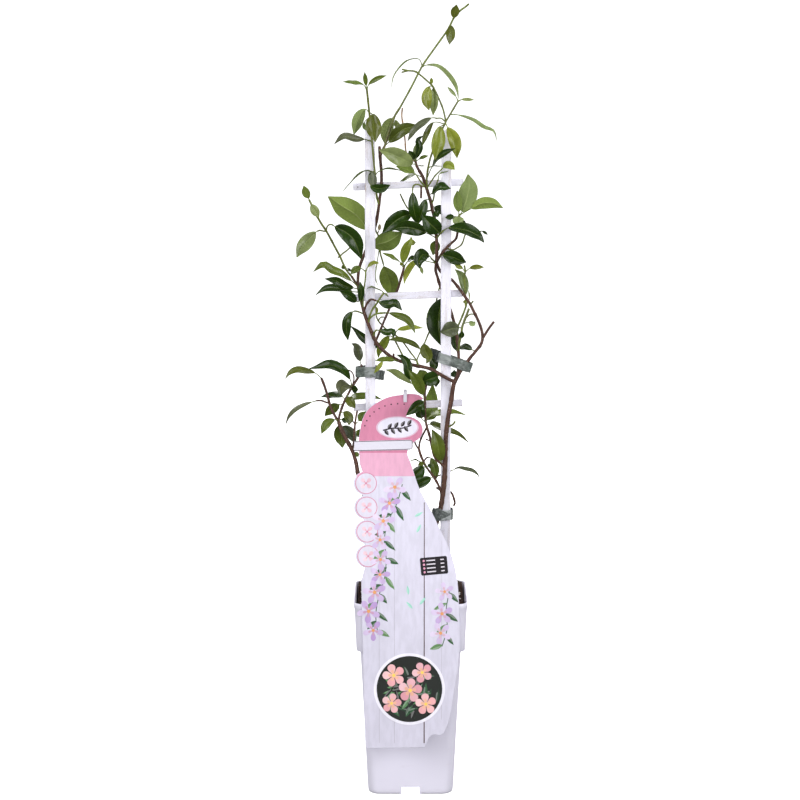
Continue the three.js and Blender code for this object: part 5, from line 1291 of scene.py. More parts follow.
plan(
    "old_stems",
    stem(2.5, (12, 164, -7), (12, 206), (16, 231, -8), (23, 254, -8.4), (28.7, 274, -7.6),
        (31.5, 291, -7.1), (33, 306), (33.8, 328)),
    stem(2.2, (33.8, 325, -7.3), (34.3, 346, -7.1), (36, 363, -7), (37.7, 373), (39.3, 382), (40.7, 392),
        (42.2, 400, -7.2), (44.5, 404.5, -7.8)),
    stem(1.7, (42.5, 399, -7.2), (45.5, 406, -8), (48.3, 411, -9), (52.5, 417, -10), (56, 422),
        (60, 427.5, -9)),
    stem(1.5, (59.7, 426.5, -9.2), (63.5, 431.5, -8), (67.5, 436.5, -6), (69.5, 443, -4), (69, 449, -2.5),
        (67, 456, -1), (64, 463, 0), (60.5, 470, 1), (57, 477, 2), (52.5, 483.5, 1.5), (48, 489.7, 1.8),
        (44, 495, 4.6), (39.5, 500, 8), (34, 504), (29, 507.5, 6.8), (26.5, 512, 4), (25, 516.5, 2)),
    stem(1.2, (69.3, 442.5, -4), (72.5, 448, -5), (76, 453.5, -7), (80.5, 459.5, -9)),
    stem(1.5, (45, 404, -8), (46.2, 414, -6.4), (46.4, 426, -6), (45.6, 436, -4.4), (44.5, 446, -1.5),
        (43, 454, 2), (41, 462, 6), (39, 469, 9.5), (34.5, 481, 12.6), (30.5, 489.5), (28, 495, 10),
        (26, 502, 6), (24, 509, 3), (24.6, 518, 1.4)),
    stem(1.6, (24.6, 514, 1.6), (25, 526, 0), (25, 536, -0.5), (24.3, 546), (23.3, 557, -1), (21, 566),
        (19.5, 574), (17, 582, -1.5), (14.5, 590, -2), (11.4, 599), (7.5, 605.5)),
    stem(1.3, (25, 517, 1), (26.8, 520.5, -4.8), (30, 525.5, -6.6), (36, 532.5), (40, 536, -6.2),
        (43.5, 539.5, -5), (45, 546, -3), (46, 554, -1.5), (46.5, 562.5, 0)),
    stem(1.7, (43.8, 400, -7.4), (36, 404, -7.5), (29, 407.7, -7.6), (20, 413, -8.5), (12, 415.3),
        (3, 417, -8), (-5, 419.3), (-15, 423), (-22, 427.5), (-29, 434), (-34, 440.5, -7.5),
        (-38, 449.5, -7), (-42, 460), (-45.4, 469, -6.8)),
    stem(1.5, (-44.8, 467.5, -7), (-47, 476, -6.5), (-49, 485, -4), (-50.7, 494, -1), (-50.5, 505, 2),
        (-49, 513, 5), (-46.5, 520, 7.2), (-42, 531, 7.6), (-37.5, 542), (-34, 551.5, 7.2), (-32.6, 558, 5),
        (-31, 568, 2.5), (-29.7, 578, 2), (-28.3, 588, 1.8), (-28, 601, 2), (-29, 614), (-30, 628)),
    stem(0.9, (-16.5, 422, -8), (-16.5, 428.5, -9.5)),
    stem(0.9, (-34.5, 442, -7.3), (-34.4, 436, -8.5)),
    stem(0.8, (36.5, 356.5, -7.2), (41, 359, -9), (43.5, 362.3, -10)),
    stem(0.6, (57.2, 475.5, 2), (60.5, 479.7, 1)),
    stem(0.7, (20.5, 567, 0), (12, 565, 4), (3, 563.8, 2)),
    stem(0.6, (14.5, 589, -2), (10, 590.3, -6), (5, 591.7, -8), (2.2, 589.5), (1.8, 585.5)),
    stem(0.9, (10, 590.3, -6), (10, 586, -6.5), (9.8, 578, -7)),
    stem(0.6, (19.5, 572, -1), (21.7, 577, -4), (23, 586, -8), (26, 596, -10)),
    stem(0.8, (24.8, 539.5, -0.5), (27.6, 543.6, -5.4), (31.8, 547.7, -7.4)),
    stem(0.7, (24.4, 516, 1.4), (19.5, 520.8, -3)),
    stem(0.9, (-45, 470, -7), (-42, 477, -9), (-38, 481, -11), (-33, 479.6)),
    stem(0.6, (-45.5, 467, -7), (-51, 469.2, -10), (-54.5, 469.8, -12.5)),
    stem(0.7, (-36, 444.5, -7.3), (-35, 449, -10), (-32.5, 451.7, -11)),
    stem(0.6, (14.5, 589.5, -2), (10.5, 593, -6), (6, 599.5, -9)),
    stem(0.6, (2, 563.6, 2), (-3.5, 569.5, 3), (-10.4, 582.8, 4)),
    leaf(14, DARK, (24, 540.5, -0.5), (15, 545, -12), (2, 549.5, -18), (-8, 550.5, -14), (-17, 548.5, -9)),
    leaf(15, DARK, (4, 563.8, 2), (1, 563.3, 1.3), (-7, 561, -5), (-17, 554.5, -7), (-27.5, 544.5, -5)),
    leaf(16, DARK, (24.8, 539, -0.5), (27.3, 544.5, -7), (19, 553.5, -16), (10.5, 562.5)),
    leaf(7, DARK, (21, 566, -1), (23, 565.5, -4), (26.5, 560.5, -8)),
    leaf(8, DARK, (20.3, 570, -1), (22.5, 570, 3), (29, 567, 13), (36, 562, 17)),
    leaf(10, MID, (24.8, 540, 0), (24.5, 538, 4), (23, 530, 9), (21.3, 523.5)),
    leaf(10.5, DARK, (1.8, 587, -8), (1.8, 584), (2.5, 572, -10), (4, 563, -8), (6, 553.5, -2.6)),
    leaf(9.5, DARK, (19.3, 576.5, -1), (15, 577, -5), (12, 569, -8), (7, 553.5, -5)),
    leaf(12, DARK, UP_FRONT, (17.5, 581, -1.5), (20, 583, -11), (28, 589, -19), (38.5, 587.5)),
    leaf(5, PALE, UP, (26, 595, -10), (27.5, 601.5), (36, 604.5, -6)),
    leaf(13, DARK, (28, 522, -5.5), (31, 523.5, -10), (40, 522, -14), (47, 519), (53.5, 516.7, -12)),
    leaf(15, DARK, UP_FRONT, (31, 547, -7), (36, 549.8, -11), (46, 549.5, -16), (57, 547, -21),
        (66, 541.5, -23), (70.7, 535.5, -21)),
    leaf(13, DARK, (20, 520.3, -2.6), (18, 523, -5), (12, 524.5, -11), (8, 519, -14), (8.4, 510.8)),
    leaf(3, PALE, (8.3, 516, -14), (9.3, 513, -12), (11.7, 505.3, -9)),
    leaf(6, YOUNG, UP_FRONT, (23.8, 516, 1.6), (9, 518.5, 8), (3, 516, 10), (-2, 510, 8), (-5, 503, 6),
        (-6.3, 495.5, 4)),
    leaf(24, DARK, (31.5, 487.5, 12.5), (30.5, 482, 14), (27, 463, 12), (27.5, 448, 9), (29.5, 436, 8)),
    leaf(14, DARK, (28.5, 407.7, -8), (26.5, 406.5, -12), (19, 403.5, -17), (10.5, 400.5, -15)),
    leaf(8, DARK, (24.3, 410.5, -8), (24.3, 413, -4.5), (22.7, 417.5, -1.6), (19.8, 424, -0.5)),
    leaf(7, DARK, (27, 408.5, -7.8), (25, 405, -0.7), (24.6, 401, 8), (24.6, 395.5, 13)),
    leaf(7, DARK, (43.5, 402.5, -7), (43, 405, -1.1), (42.5, 408, 7), (42, 412.5, 13)),
    leaf(7, DARK, UP_FRONT, (62.5, 430.5, -8), (59.5, 432, -4), (52, 435, 6), (43.5, 433.5, 14)),
    leaf(8, DARK, (46.3, 428, -6), (44.5, 431, -0.1), (43, 441, 12), (42.6, 449, 17), (43, 456.5)),
    leaf(10, DARK, UP_FRONT, (-34, 480, -11), (-31, 478.5), (-22, 476, -13), (-15, 477, -15),
        (-8, 470, -13)),
    leaf(10, MID, UP_FRONT, (-50.6, 493, -1.4), (-57, 499, -8), (-67, 506, -15), (-76, 509.5, -17),
        (-84, 514.5, -19), (-94, 507.5)),
    leaf(9, DARK, (-50.4, 491, -2), (-55, 492, -8), (-64, 494, -15), (-72, 499, -18), (-83, 501)),
    leaf(9, DARK, UP_FRONT, (-50, 488, -3), (-56, 488.5), (-68, 491.5, -1.2), (-82, 491.5, 2.4),
        (-92, 485, 4)),
    leaf(9, DARK, (-48.4, 480, -5), (-52, 479, -11), (-60, 485, -18), (-68.5, 489, -19)),
    leaf(6, DARK, (-46.8, 475, -6.5), (-48.4, 479, -13), (-47.6, 489, -16), (-48.8, 498.5)),
    leaf(9, DARK, (-53.5, 469.7, -12), (-56, 469, -13), (-61, 462, -17), (-62, 453), (-60.5, 441, -14)),
    leaf(9, DARK, (-33.5, 440, -6.8), (-30.5, 438, 5), (-36, 438, 24), (-46, 444), (-53, 451, 22),
        (-58.5, 455.5, 20)),
    leaf(7, DARK, UP_FRONT, (-33.5, 451.2, -11), (-30, 451), (-23, 449, -14), (-17, 449.5, -16),
        (-16.7, 443.5)),
    leaf(6, MID, UP_FRONT, (-11, 421.3, -8), (-15, 422, -12), (-25, 422.8, -15), (-34.5, 421.5)),
    leaf(4, YOUNG, (-22, 427, -8), (-27, 420.5, -17), (-31, 415, -22), (-35.5, 409)),
    leaf(22, LIGHT, BACK, (-38, 542, 7.6), (-41, 548, 10), (-52, 562, 12), (-66, 571, 8),
        (-79.5, 580, 2.9)),
    leaf(19, MID, BACK, (-40, 535.5, 7.6), (-37, 534, 10), (-27, 535.5, 8), (-18, 539, 5), (-8, 546, 2.9)),
    leaf(11, LIGHT, UP_FRONT, (7, 598.5, -9), (3, 602.3, -6), (-5, 606.5, -1), (-14.3, 609, 2)),
    leaf(7, MID, UP_FRONT, (12, 597.5, -2), (5, 601, 8), (0, 600.5, 21), (-5, 597, 27), (-12, 593)),
    leaf(19, PALE, BACK, (46.5, 562, 0), (49, 565, 1.5), (54, 579, 2.7), (56, 591), (54.7, 601.5, 1.8)),
    leaf(11, PALE, (46.5, 562, 0), (46, 561, -4), (45.5, 557, -8), (46.5, 551.5, -9)),
    leaf(9, MID, BACK, (46.5, 561.5, 0), (46, 565, -1.5), (45.2, 573, -1.8), (44.5, 586, 0)),
    leaf(11.5, LIGHT, BACK, (46.6, 562, 0), (58, 568.3, 1.5), (68, 573.3, 4), (78, 573.5, 5), (88.8, 569)),
    leaf(5, DARK, (46, 560, -1), (41.5, 560.8, -7), (33, 559.8, -13)),
    leaf(4, DARK, (46.5, 558.5, -1), (49, 557, -2.5), (52, 552.5, -5)),
)
plan(
    "low_stems",
    stem(2, (-22, 164, -9), (-22, 206), (-27, 231, -13), (-36, 261, -17), (-45, 288, -20), (-51, 309, -19),
        (-53, 321, -17), (-55.5, 330, -15), (-59, 338, -13), (-64, 347, -11), (-67.5, 355, -9.5),
        (-70, 362, -8.5)),
    stem(1.3, (-69.7, 361, -8.5), (-74.5, 369.5, -5.8), (-78, 377, -2.8), (-80, 385, -0.2), (-82, 392, 1.4),
        (-84.3, 399, 3.1), (-86.5, 404.5, 4.8)),
    stem(1.2, (-70, 361, -8.5), (-69, 368, -8), (-66.5, 376, -7), (-64, 382, -6.5), (-60.5, 389, -6),
        (-57.5, 394.5, -5.5), (-54, 400), (-50.4, 406, -5), (-48.4, 412, -4.2), (-47.4, 418, -3.2)),
    stem(0.8, (-56.5, 332.5, -14.5), (-55.5, 342, -14), (-54.6, 351, -13), (-54, 359, -12), (-53, 366, -11),
        (-51.7, 373, -10)),
    stem(0.5, (-54, 359, -12), (-56.7, 363.3, -11)),
    stem(0.5, (-56.3, 397, -5.5), (-54.9, 405, -8), (-57.5, 411, -9.5), (-62, 412.5, -10)),
    stem(0.7, (-78.8, 380, -1.6), (-82, 380.7, -3.6), (-86, 382.3, -4.4), (-92, 382.3, -4.6)),
    leaf(7, OLIVE, UP_FRONT, (-86, 404, 4.6), (-92.5, 409.3, 6.5), (-101, 411.5, 7.3), (-110, 412.7, 8.2),
        (-116.5, 410, 8.8), (-121.7, 403.5, 8.3)),
    leaf(11, DARK, UP_FRONT, (-57, 396, -5.5), (-58.5, 403, -9), (-64.5, 411, -14), (-76, 417.5, -14.4),
        (-87, 416, -11.1), (-98.7, 413.5, -7.6)),
    leaf(14, GREY_SHEEN, (-57, 396, -5.5), (-59, 397.5, -9), (-66, 396.5, -19), (-67.5, 387.5, -23)),
    leaf(9, DARK, UP_FRONT, (-63.5, 383, -6.5), (-66, 386, -1.3), (-76, 388, 11.6), (-87.3, 386, 18)),
    leaf(7, DARK, (-58, 393.5, -5.5), (-57, 393.5, -9), (-50.7, 393.3, -13)),
    leaf(8, OLIVE, (-61, 388, -6), (-61.5, 386, -10), (-58.5, 381.5, -15), (-53.6, 374.8, -16)),
    leaf(9, MID, UP_FRONT, (-62, 386, -6.3), (-58.5, 384, 5), (-50, 386.5, 22), (-40, 387, 24),
        (-27.5, 383.5, 23)),
    leaf(4.6, GREY_SHEEN, UP_FRONT, (-91, 382.3, -4.7), (-95, 381.3, -5.7), (-104, 378, -7), (-112, 373.5, -5.6),
        (-118, 367, -3.8), (-121.7, 357.8, -2.7)),
    leaf(10, MID, (-66, 378.3, -7), (-69, 378.8, -2.6), (-76, 374.5, 6.6), (-83.5, 367.3, 13.8)),
    leaf(8, MID, UP_FRONT, (-70.5, 363, -8.3), (-73.5, 363.8, -11), (-80, 361, -13.2), (-84, 356, -14),
        (-86.7, 349.5, -13.2)),
    leaf(14, MID, (-69.5, 361, -8.5), (-69.5, 358.5, -3), (-67.5, 348, 1.4), (-66.2, 335.8)),
    leaf(10, GREY_SHEEN, (-68, 357, -9.2), (-65.5, 357.5, -4), (-58.5, 351, -3), (-53, 340, -9)),
    leaf(9, OLIVE, (-68.4, 370.3, -7.8), (-65.5, 371, -10), (-60, 366.5, -12), (-59.8, 358, -14)),
    leaf(5, DARK, (-69.5, 364, -8.4), (-67, 363.8, -10), (-60, 362.3, -14)),
    leaf(8, MID, (-54, 359, -12), (-50.5, 362.5, -9), (-47, 367, -8), (-43.5, 372, -7)),
    leaf(8, MID, (-54.7, 350, -13), (-53, 352, -12), (-45, 348, -9)),
    leaf(4, MID, (-56, 330.7, -15), (-54, 331.5), (-50.5, 327, -18)),
    leaf(9, GREY_SHEEN, (-48, 417, -3.2), (-48.8, 421, 7), (-50.5, 429, 13), (-53, 436, 14), (-57.2, 438.3)),
)
plan(
    "shoot_upper_left",
    stem(1.2, (-50.7, 494, -1), (-53.5, 498, 2), (-57, 503.5, 5)),
    stem(0.9, (-56.6, 503, 4.8), (-60.5, 507.5, 7), (-64, 513.5, 7.5), (-68, 522.5, 5.9), (-72.5, 531, 2.4),
        (-77, 539.5, -2.1), (-81.3, 547.3, -6.5), (-85.5, 553.5, -10.6), (-89.5, 560.5, -13.9),
        (-92.5, 567, -16.1), (-95.5, 573, -17.2), (-97.5, 577, -17.9)),
    stem(0.6, (-81, 546.5, -6.4), (-80.3, 551, -9.2), (-77.5, 553.3, -11.6), (-74.3, 552.5, -13.5)),
    stem(0.6, (-81, 546.8, -6.4), (-84, 546.7, -4.4), (-87, 547.6, -3.6), (-90, 546.6, -3.4)),
    stem(0.6, (-70.3, 521.3, 6.1), (-68, 522.5, 5.9), (-66, 524.8, 6.5), (-62.5, 527.3, 7.1),
        (-58.5, 530.8, 6.4)),
    leaf(7, LIGHT, (-97, 576, -17.7), (-97.8, 578, -18.1), (-100.5, 584, -21.1), (-102.5, 590.5, -24.3)),
    leaf(7.5, PALE, (-96, 574, -17.3), (-95.3, 572.5, -20.1), (-92.3, 567, -21.1), (-88, 559.7, -19.8)),
    leaf(16, DARK, (-75.5, 553, -13.1), (-73, 551.3, -15.3), (-64.5, 547, -20.5), (-55, 539, -22),
        (-47.2, 519.5, -18.5)),
    leaf(13.5, PALE, (-88.5, 547.2, -3.5), (-91, 546, -3.3), (-99, 537.5, -5.4), (-105.5, 529.5, -9.3),
        (-109.7, 521.3, -11.9)),
    leaf(3, MID, (-62.5, 511, 7.5), (-64, 510.5, 5), (-66.2, 514, 0.7)),
    leaf(4, DARK, (-61.5, 509, 7.2), (-60, 509, 5), (-58, 510.5, 1.4)),
)
plan(
    "shoot_loop_left",
    stem(0.6, (-46, 472, -7), (-45.9, 479, -9), (-45.7, 486, -8.5), (-44.6, 494, -7.6), (-43.5, 503),
        (-43.4, 508.5, -8)),
    leaf(6, MID, (-43.5, 508, -8), (-48, 511, -9), (-53, 510, -12), (-57.8, 505.3)),
    leaf(4.5, YOUNG, UP_FRONT, (-43.4, 507.5, -8), (-41.5, 512), (-36, 516.3, -10), (-29.8, 516, -8)),
)
plan(
    "shoot_node_left",
    stem(0.8, (-40.8, 458, -7), (-39.5, 465, -10), (-37, 471, -9), (-33, 476.5, -6.5), (-30, 481.5, -6),
        (-26, 487, -6.5)),
    stem(0.7, (-40, 462, -9), (-36, 465.6, -11), (-33, 467), (-24, 468)),
    leaf(6, MID, UP, (-26, 487, -6.5), (-28, 489.3, -8), (-33, 492, -9), (-38, 493.3, -10), (-42.5, 491.5)),
    leaf(5, MID, UP, (-26.2, 486.7, -6.5), (-25, 486.8, -6), (-21.5, 483.5, -7)),
    leaf(7, MID, UP_FRONT, (-25, 468, -11), (-21, 467.7), (-13, 465.5, -12), (-6, 463, -13), (-1, 459, -14),
        (2, 453.5, -15), (4.5, 447.8)),
)
plan(
    "shoot_centre",
    stem(1.1, (-33.5, 441, -7.6), (-31, 447, -3), (-28.5, 453, -1), (-25.5, 460.5, 2), (-22, 468.5, 8),
        (-18.5, 477, 12), (-14.5, 486, 12.2), (-12, 492, 10), (-10, 499, 7), (-7.5, 508, 4),
        (-6.2, 513.7, 3)),
    leaf(9, YOUNG, (-6.5, 512.5, 3), (-7.2, 516, 0), (-6, 525, -6), (-3, 533, -10), (0.5, 539),
        (0, 541.6, -8)),
    leaf(5, YOUNG, (-3, 533.5, -3.8), (-1, 535.3, -4), (5, 536, -6)),
    leaf(5, MID, UP_FRONT, (-6.3, 513, 3), (-11, 517.5, 1.5), (-18, 522, -2.4), (-27.5, 525.8, -6)),
    leaf(6, DARK, UP_FRONT, (-6.2, 513, 3), (-3, 517.5, -1.4), (1, 520.8, -4), (6, 520.5)),
    leaf(3, YOUNG, (-6.8, 512, 3), (-8.5, 513.5, 1.5), (-9.3, 517, -2.4)),
)
plan(
    "shoot_thin_centre",
    stem(0.9, (7.3, 415.5, -8.5), (6.7, 419, -9.5), (5.6, 422.3)),
    stem(0.6, (5.8, 421.5, -9.4), (3, 425.5, -7), (0, 429.3, -4.5), (-4, 435, -2), (-8, 440.3, 0),
        (-15, 446.5, 2), (-20, 449.5, 3), (-24, 452.3, 3.5), (-28, 456.5, 4.5), (-31.5, 460.5, 5),
        (-33.2, 465, 5.2)),
    stem(0.5, (-31.2, 460.2, 5), (-29, 463.6), (-25.5, 463.8)),
    stem(0.5, (5.8, 421.5, -9.3), (7.5, 426, -10), (9.7, 430.7)),
    stem(0.5, (6, 421.3, -9.3), (2, 422.6, -11), (-1.5, 423.3)),
    leaf(3, YOUNG, (-33, 464, 5.2), (-33.2, 467, 5), (-32.8, 471, 6), (-34, 474.5)),
    leaf(7, OLIVE, UP_FRONT, (9.5, 430, -10), (9.5, 432), (4, 437, -12), (-6, 441, -15), (-15, 442.3, -17),
        (-22.5, 441.3)),
    leaf(6, YOUNG, UP_FRONT, (-15.3, 446.2, 2), (-13, 451, -1), (-6, 453, -5), (2, 454, -7), (12.3, 453.3)),
)
plan(
    "shoot_short_centre",
    stem(0.7, (-7, 419.5, -8), (-7.5, 425.5, -10.4), (-10, 431, -11), (-13.5, 438), (-17, 444.5, -10)),
    leaf(8.5, YOUNG, (-16.8, 444, -10), (-20.5, 445.5, -6), (-26.5, 437, 1.7), (-30.5, 430.5, 2.6),
        (-31.2, 424)),
)
plan(
    "shoot_hanging_left",
    stem(0.7, (-34.6, 550, 7.2), (-33, 546, 10), (-31, 542, 12.5), (-29.8, 534, 13.4), (-29, 524.5, 9.5),
        (-27.5, 519.5, 7), (-26.3, 515, 5)),
    leaf(18, LIGHT, (-26.5, 516, 5.2), (-25.8, 513, 7), (-22, 503, 17), (-19, 492, 26), (-20, 482, 30)),
    leaf(3, TAN, (-32, 544.3, 11), (-30.5, 547.5, 8), (-29.6, 554, 6)),
    leaf(6, PALE, LEFT, (-30, 531, 12), (-32, 519, 10), (-34.3, 506, 8), (-34, 501), (-31.8, 494.3)),
)
plan(
    "shoot_hanging_centre",
    stem(0.6, (28.3, 494.3, 10.4), (26, 486, 16.5), (23, 468, 17), (18.7, 451.5, 13), (16, 445, 9),
        (13.3, 438, 5)),
    leaf(11, OLIVE, (13.6, 439, 5.4), (12.5, 437.8, 3), (14.5, 430.5, -4), (17.5, 423.5, -10), (15, 418.5)),
)
plan(
    "side_branch_upper",
    stem(1.2, (33.5, 317, -7.2), (29, 321, -10), (25, 324.5, -10.5), (22.7, 329), (21, 336, -11),
        (19.5, 343), (18, 349.5), (16, 356, -12), (14.6, 363), (13.8, 371), (14, 378), (13.7, 384),
        (13.8, 391, -11), (15, 397, -8.5), (16.5, 402, -7)),
    stem(0.6, (13.7, 389, -11.4), (9, 394, -9), (3, 398, -7)),
    stem(0.6, (13.8, 391, -11), (8, 395), (4, 399, -12)),
    stem(0.5, (19.6, 342.5, -11), (14.5, 344.7, -11.5)),
    leaf(11, MID, (13.7, 384, -12), (12.2, 388, -15), (7, 400, -21), (2.5, 407, -23), (-2, 412.5)),
    leaf(7, PALE, UP_FRONT, (4, 397.5, -7.3), (1, 399, -7), (-8, 405.5, -3), (-16, 410.5, 0.4),
        (-25, 412.7, 4)),
    leaf(8, DARK, (4.5, 398.5, -12), (2, 402, -13), (-2.5, 410, -16), (-3, 418), (-7.5, 424.5),
        (-13.7, 427.3)),
    leaf(12, LIGHT, (14.8, 396, -9), (12.5, 401, -8), (11, 407, -4), (8.7, 412.6, 0)),
    leaf(15, LIGHT, (14.6, 362.5, -12), (16.5, 363.5, 6), (18.8, 371, 33), (20.5, 386), (21.5, 399.5, 26)),
    leaf(10, DARK, (13.7, 382, -12), (12.5, 381.5, -16), (5, 376, -28), (-4.7, 367.5, -34)),
    leaf(9.5, DARK, (15, 361, -12), (10.7, 365, -18), (9.5, 372, -25), (12.5, 380, -23)),
    leaf(9, LIGHT, UP_FRONT, (14.7, 363.5, -12), (19.5, 367.5, 2.8), (30, 370.5, 32), (42, 371.5, 35),
        (54.5, 368, 31)),
    leaf(8.5, OLIVE, UP_FRONT, (15.7, 357.5, -12), (18.5, 359.3, 1.3), (26, 357.5, 26), (36, 353.7, 30),
        (46, 350, 29), (57, 340.7, 22)),
    leaf(13, MID, (29.3, 320.8, -9.8), (29.6, 323, -12), (27.3, 334, -17), (25.5, 344), (20.5, 354.5, -16)),
)
plan(
    "side_branch_lower",
    stem(1.2, (30.8, 286, -7.6), (29, 294.5, -9), (26, 301.5, -10), (22, 307.7, -10.5), (18, 313.3, -11),
        (15, 317.5), (12.5, 322.5), (10.5, 327, -11.5), (8.8, 332, -12), (8, 335.5)),
    stem(0.7, (8.1, 334.5, -12), (6, 337.5, -11.5), (4.3, 341, -11), (3.3, 347, -9)),
    stem(0.8, (8.1, 334.5, -12), (8.8, 341, -9), (10.5, 346, -7), (13.3, 351.5, -6.5), (15.5, 356)),
    stem(0.7, (12.6, 322, -11), (15, 325.7, -7), (17.5, 327, -5)),
    stem(0.6, (22, 307.5, -10.5), (25.5, 307.5, -3), (26.8, 308.5, 6.5), (36, 311.5, 9.5), (40, 313.5)),
    stem(0.9, (29, 294.5, -9), (26.2, 296, -2), (27, 296.5, 7.4), (35, 295.5, 8.8), (40, 291.5, 8.5),
        (42.3, 286, 7.5), (43.2, 281.5, 7), (42, 278.3)),
    leaf(6, MID, UP, (12.6, 322, -11), (9.5, 322.3, -14), (5, 324.7, -16), (-0.5, 323)),
    leaf(6, OLIVE, (13.5, 320.5, -11), (12.5, 319.8, -14), (7, 319, -16)),
    leaf(12, DARK, (15.3, 317, -11), (13.5, 317, -14), (7, 311, -20), (-2, 302, -24)),
    leaf(4, DARK, (15, 317.5, -11), (16.5, 318, -12), (20.5, 318.7, -14)),
    leaf(10, DARK, (22, 307.7, -10.5), (20, 306.5, -13), (11, 302, -19), (1, 295, -24)),
    leaf(8, MID, (17, 327, -5.2), (19.5, 326, -4), (22.5, 319, -5), (24, 313), (25.2, 305)),
    leaf(4.2, GREY_SHEEN, UP_FRONT, (39, 313, 9.5), (41, 314, 10), (47, 316.6, 9), (54, 315.3, 5),
        (61, 313.3, 1.4), (65.5, 309.5, -0.4), (67.6, 305.3)),
)
plan(
    "shoot_crown",
    stem(1.3, (7.8, 605, -2), (5.5, 609.5), (4.5, 614)),
    stem(0.6, (4.5, 613, -2), (-1, 616.5, 0), (-4.5, 623, 1), (-5.5, 634, 2), (-7.2, 647, 3), (-8.6, 657),
        (-8, 664.5)),
    leaf(16, PALE, (5, 611, -2), (2, 611, -8), (-8, 616, -16), (-19, 621, -21), (-30.5, 624.5, -22)),
    leaf(6, DARK, (4.5, 612.5, -2), (3.5, 615, -3), (-2, 624, -6)),
    leaf(6, DARK, (4.7, 612.5, -2), (5.2, 616, -0.5), (8.5, 627, 3), (7, 634, 5), (12, 638)),
    leaf(5, PALE, (4.5, 613, -2), (4.3, 617, 1), (5.5, 631, 5)),
    leaf(5, PALE, UP, (6, 608.5, -2), (8, 609.5, 1), (13.5, 609.3, 5)),
    leaf(4, MID, UP_FRONT, (4.8, 613.5, -2), (8, 615.5, 1), (13, 618, 3), (17, 619, 5)),
)
plan(
    "shoot_leader",
    stem(1, (-29.3, 617, 2), (-27.3, 623.5), (-25, 628, 1.8), (-22, 637, 3.2), (-18.7, 647, 4.8),
        (-15.6, 656, 6.2), (-10, 665, 7.7)),
    stem(0.8, (-10.5, 664.2, 7.6), (0, 683, 9.6), (11, 704, 11.9), (20, 717, 14), (28, 728, 16.8),
        (34.4, 737, 19.2), (38, 743.5, 21.2), (41, 749.5, 23.2), (47, 756, 24.2), (52, 759.5, 24.8),
        (55, 762.3, 25.2)),
    leaf(9, OLIVE, (38, 743, 21.2), (38, 742, 19.3), (37.8, 734, 16.1), (36.6, 723.8, 14.8)),
    leaf(7.5, OLIVE, (40.5, 748, 22.5), (40.6, 749, 20.6), (43.4, 761.6, 16)),
    leaf(5, PALE, UP, (11, 703, 11.8), (8, 710, 11.9), (-2, 710, 7.9), (-12, 701.5, 4.5), (-17, 693, 3.2),
        (-18.6, 682.7, 1.5)),
    leaf(4.6, PALE, UP_FRONT, (11, 703, 11.8), (14, 704.5, 12), (25.5, 704, 9.9), (36, 695.5, 6.6),
        (43, 684.5, 3.8), (45.7, 671.7, 1.8)),
    leaf(12, PALE, BACK, (-15.8, 655.2, 6.1), (-18, 654.5, 10), (-23, 643, 15.2), (-24.5, 629, 12.9)),
    leaf(8, PALE, (-18.6, 647, 4.8), (-16, 648, 2), (-10.5, 649.3, -1.8)),
    leaf(12, OLIVE, (-24.8, 628.5, 1.8), (-21, 631.5, -1.7), (-8, 643.5, -6.8), (8, 647.8, -6.1)),
)
plan(
    "shoot_left_tall",
    stem(0.9, (-30.4, 572, 2.3), (-32.3, 579, -3), (-33.5, 589, -5.8), (-34.2, 601, -6), (-35.3, 613),
        (-36.5, 627), (-37.8, 640, -5.8), (-39.5, 659, -9), (-40.5, 669, -12), (-42, 683, -17.6)),
    leaf(11, PALE, BACK, (-39.7, 660, -9.4), (-43, 662.8, -10.5), (-49, 656, -7.8), (-54.5, 638.5, -3)),
    leaf(3, MID, (-39.3, 655.5, -8), (-44, 651, -8.8), (-44.5, 646), (-42.5, 642.7, -10)),
    leaf(15, OLIVE, (-39.5, 659.5, -9.2), (-37, 658.5, -12.8), (-35.5, 646, -16.8), (-33.8, 631.8, -19)),
    leaf(8, GREY_SHEEN, UP_FRONT, (-37.1, 632.5, -6), (-44, 634.5, -9), (-54, 635, -13), (-64, 637.5, -15),
        (-73.3, 629.8)),
    leaf(8, MID, UP, (-34.2, 600, -6), (-37, 603, -7), (-43, 605.3, -10), (-51, 600.5), (-59, 592.5),
        (-65.2, 584.8)),
    leaf(7, MID, UP, (-34.2, 600, -6), (-31.5, 603.3), (-25, 606.8), (-15, 606.3), (-5.5, 604)),
    leaf(5, DARK, (-34.1, 598, -6), (-35.5, 600.5, -9), (-41, 598.8, -11)),
    leaf(9, DARK, (-34.2, 600, -6), (-38.5, 591, -12), (-30, 587.5, -14), (-19.5, 591, -15)),
    leaf(8, GREY_SHEEN, (-34.1, 601, -6), (-36.5, 604, -9), (-36.8, 597, -11), (-34.5, 587.5, -12)),
    leaf(5, MID, UP_FRONT, (-41.5, 679, -16), (-45, 686, -18.8), (-55, 688.3, -19.7), (-65, 689, -20)),
    leaf(4, MID, (-42, 681, -16.8), (-42.5, 685, -18.4), (-44, 698.3, -23.7)),
    leaf(4.2, MID, (-41.8, 680, -16.4), (-40.3, 686, -18.8), (-32, 692, -21.2), (-22.8, 695, -22.4)),
)
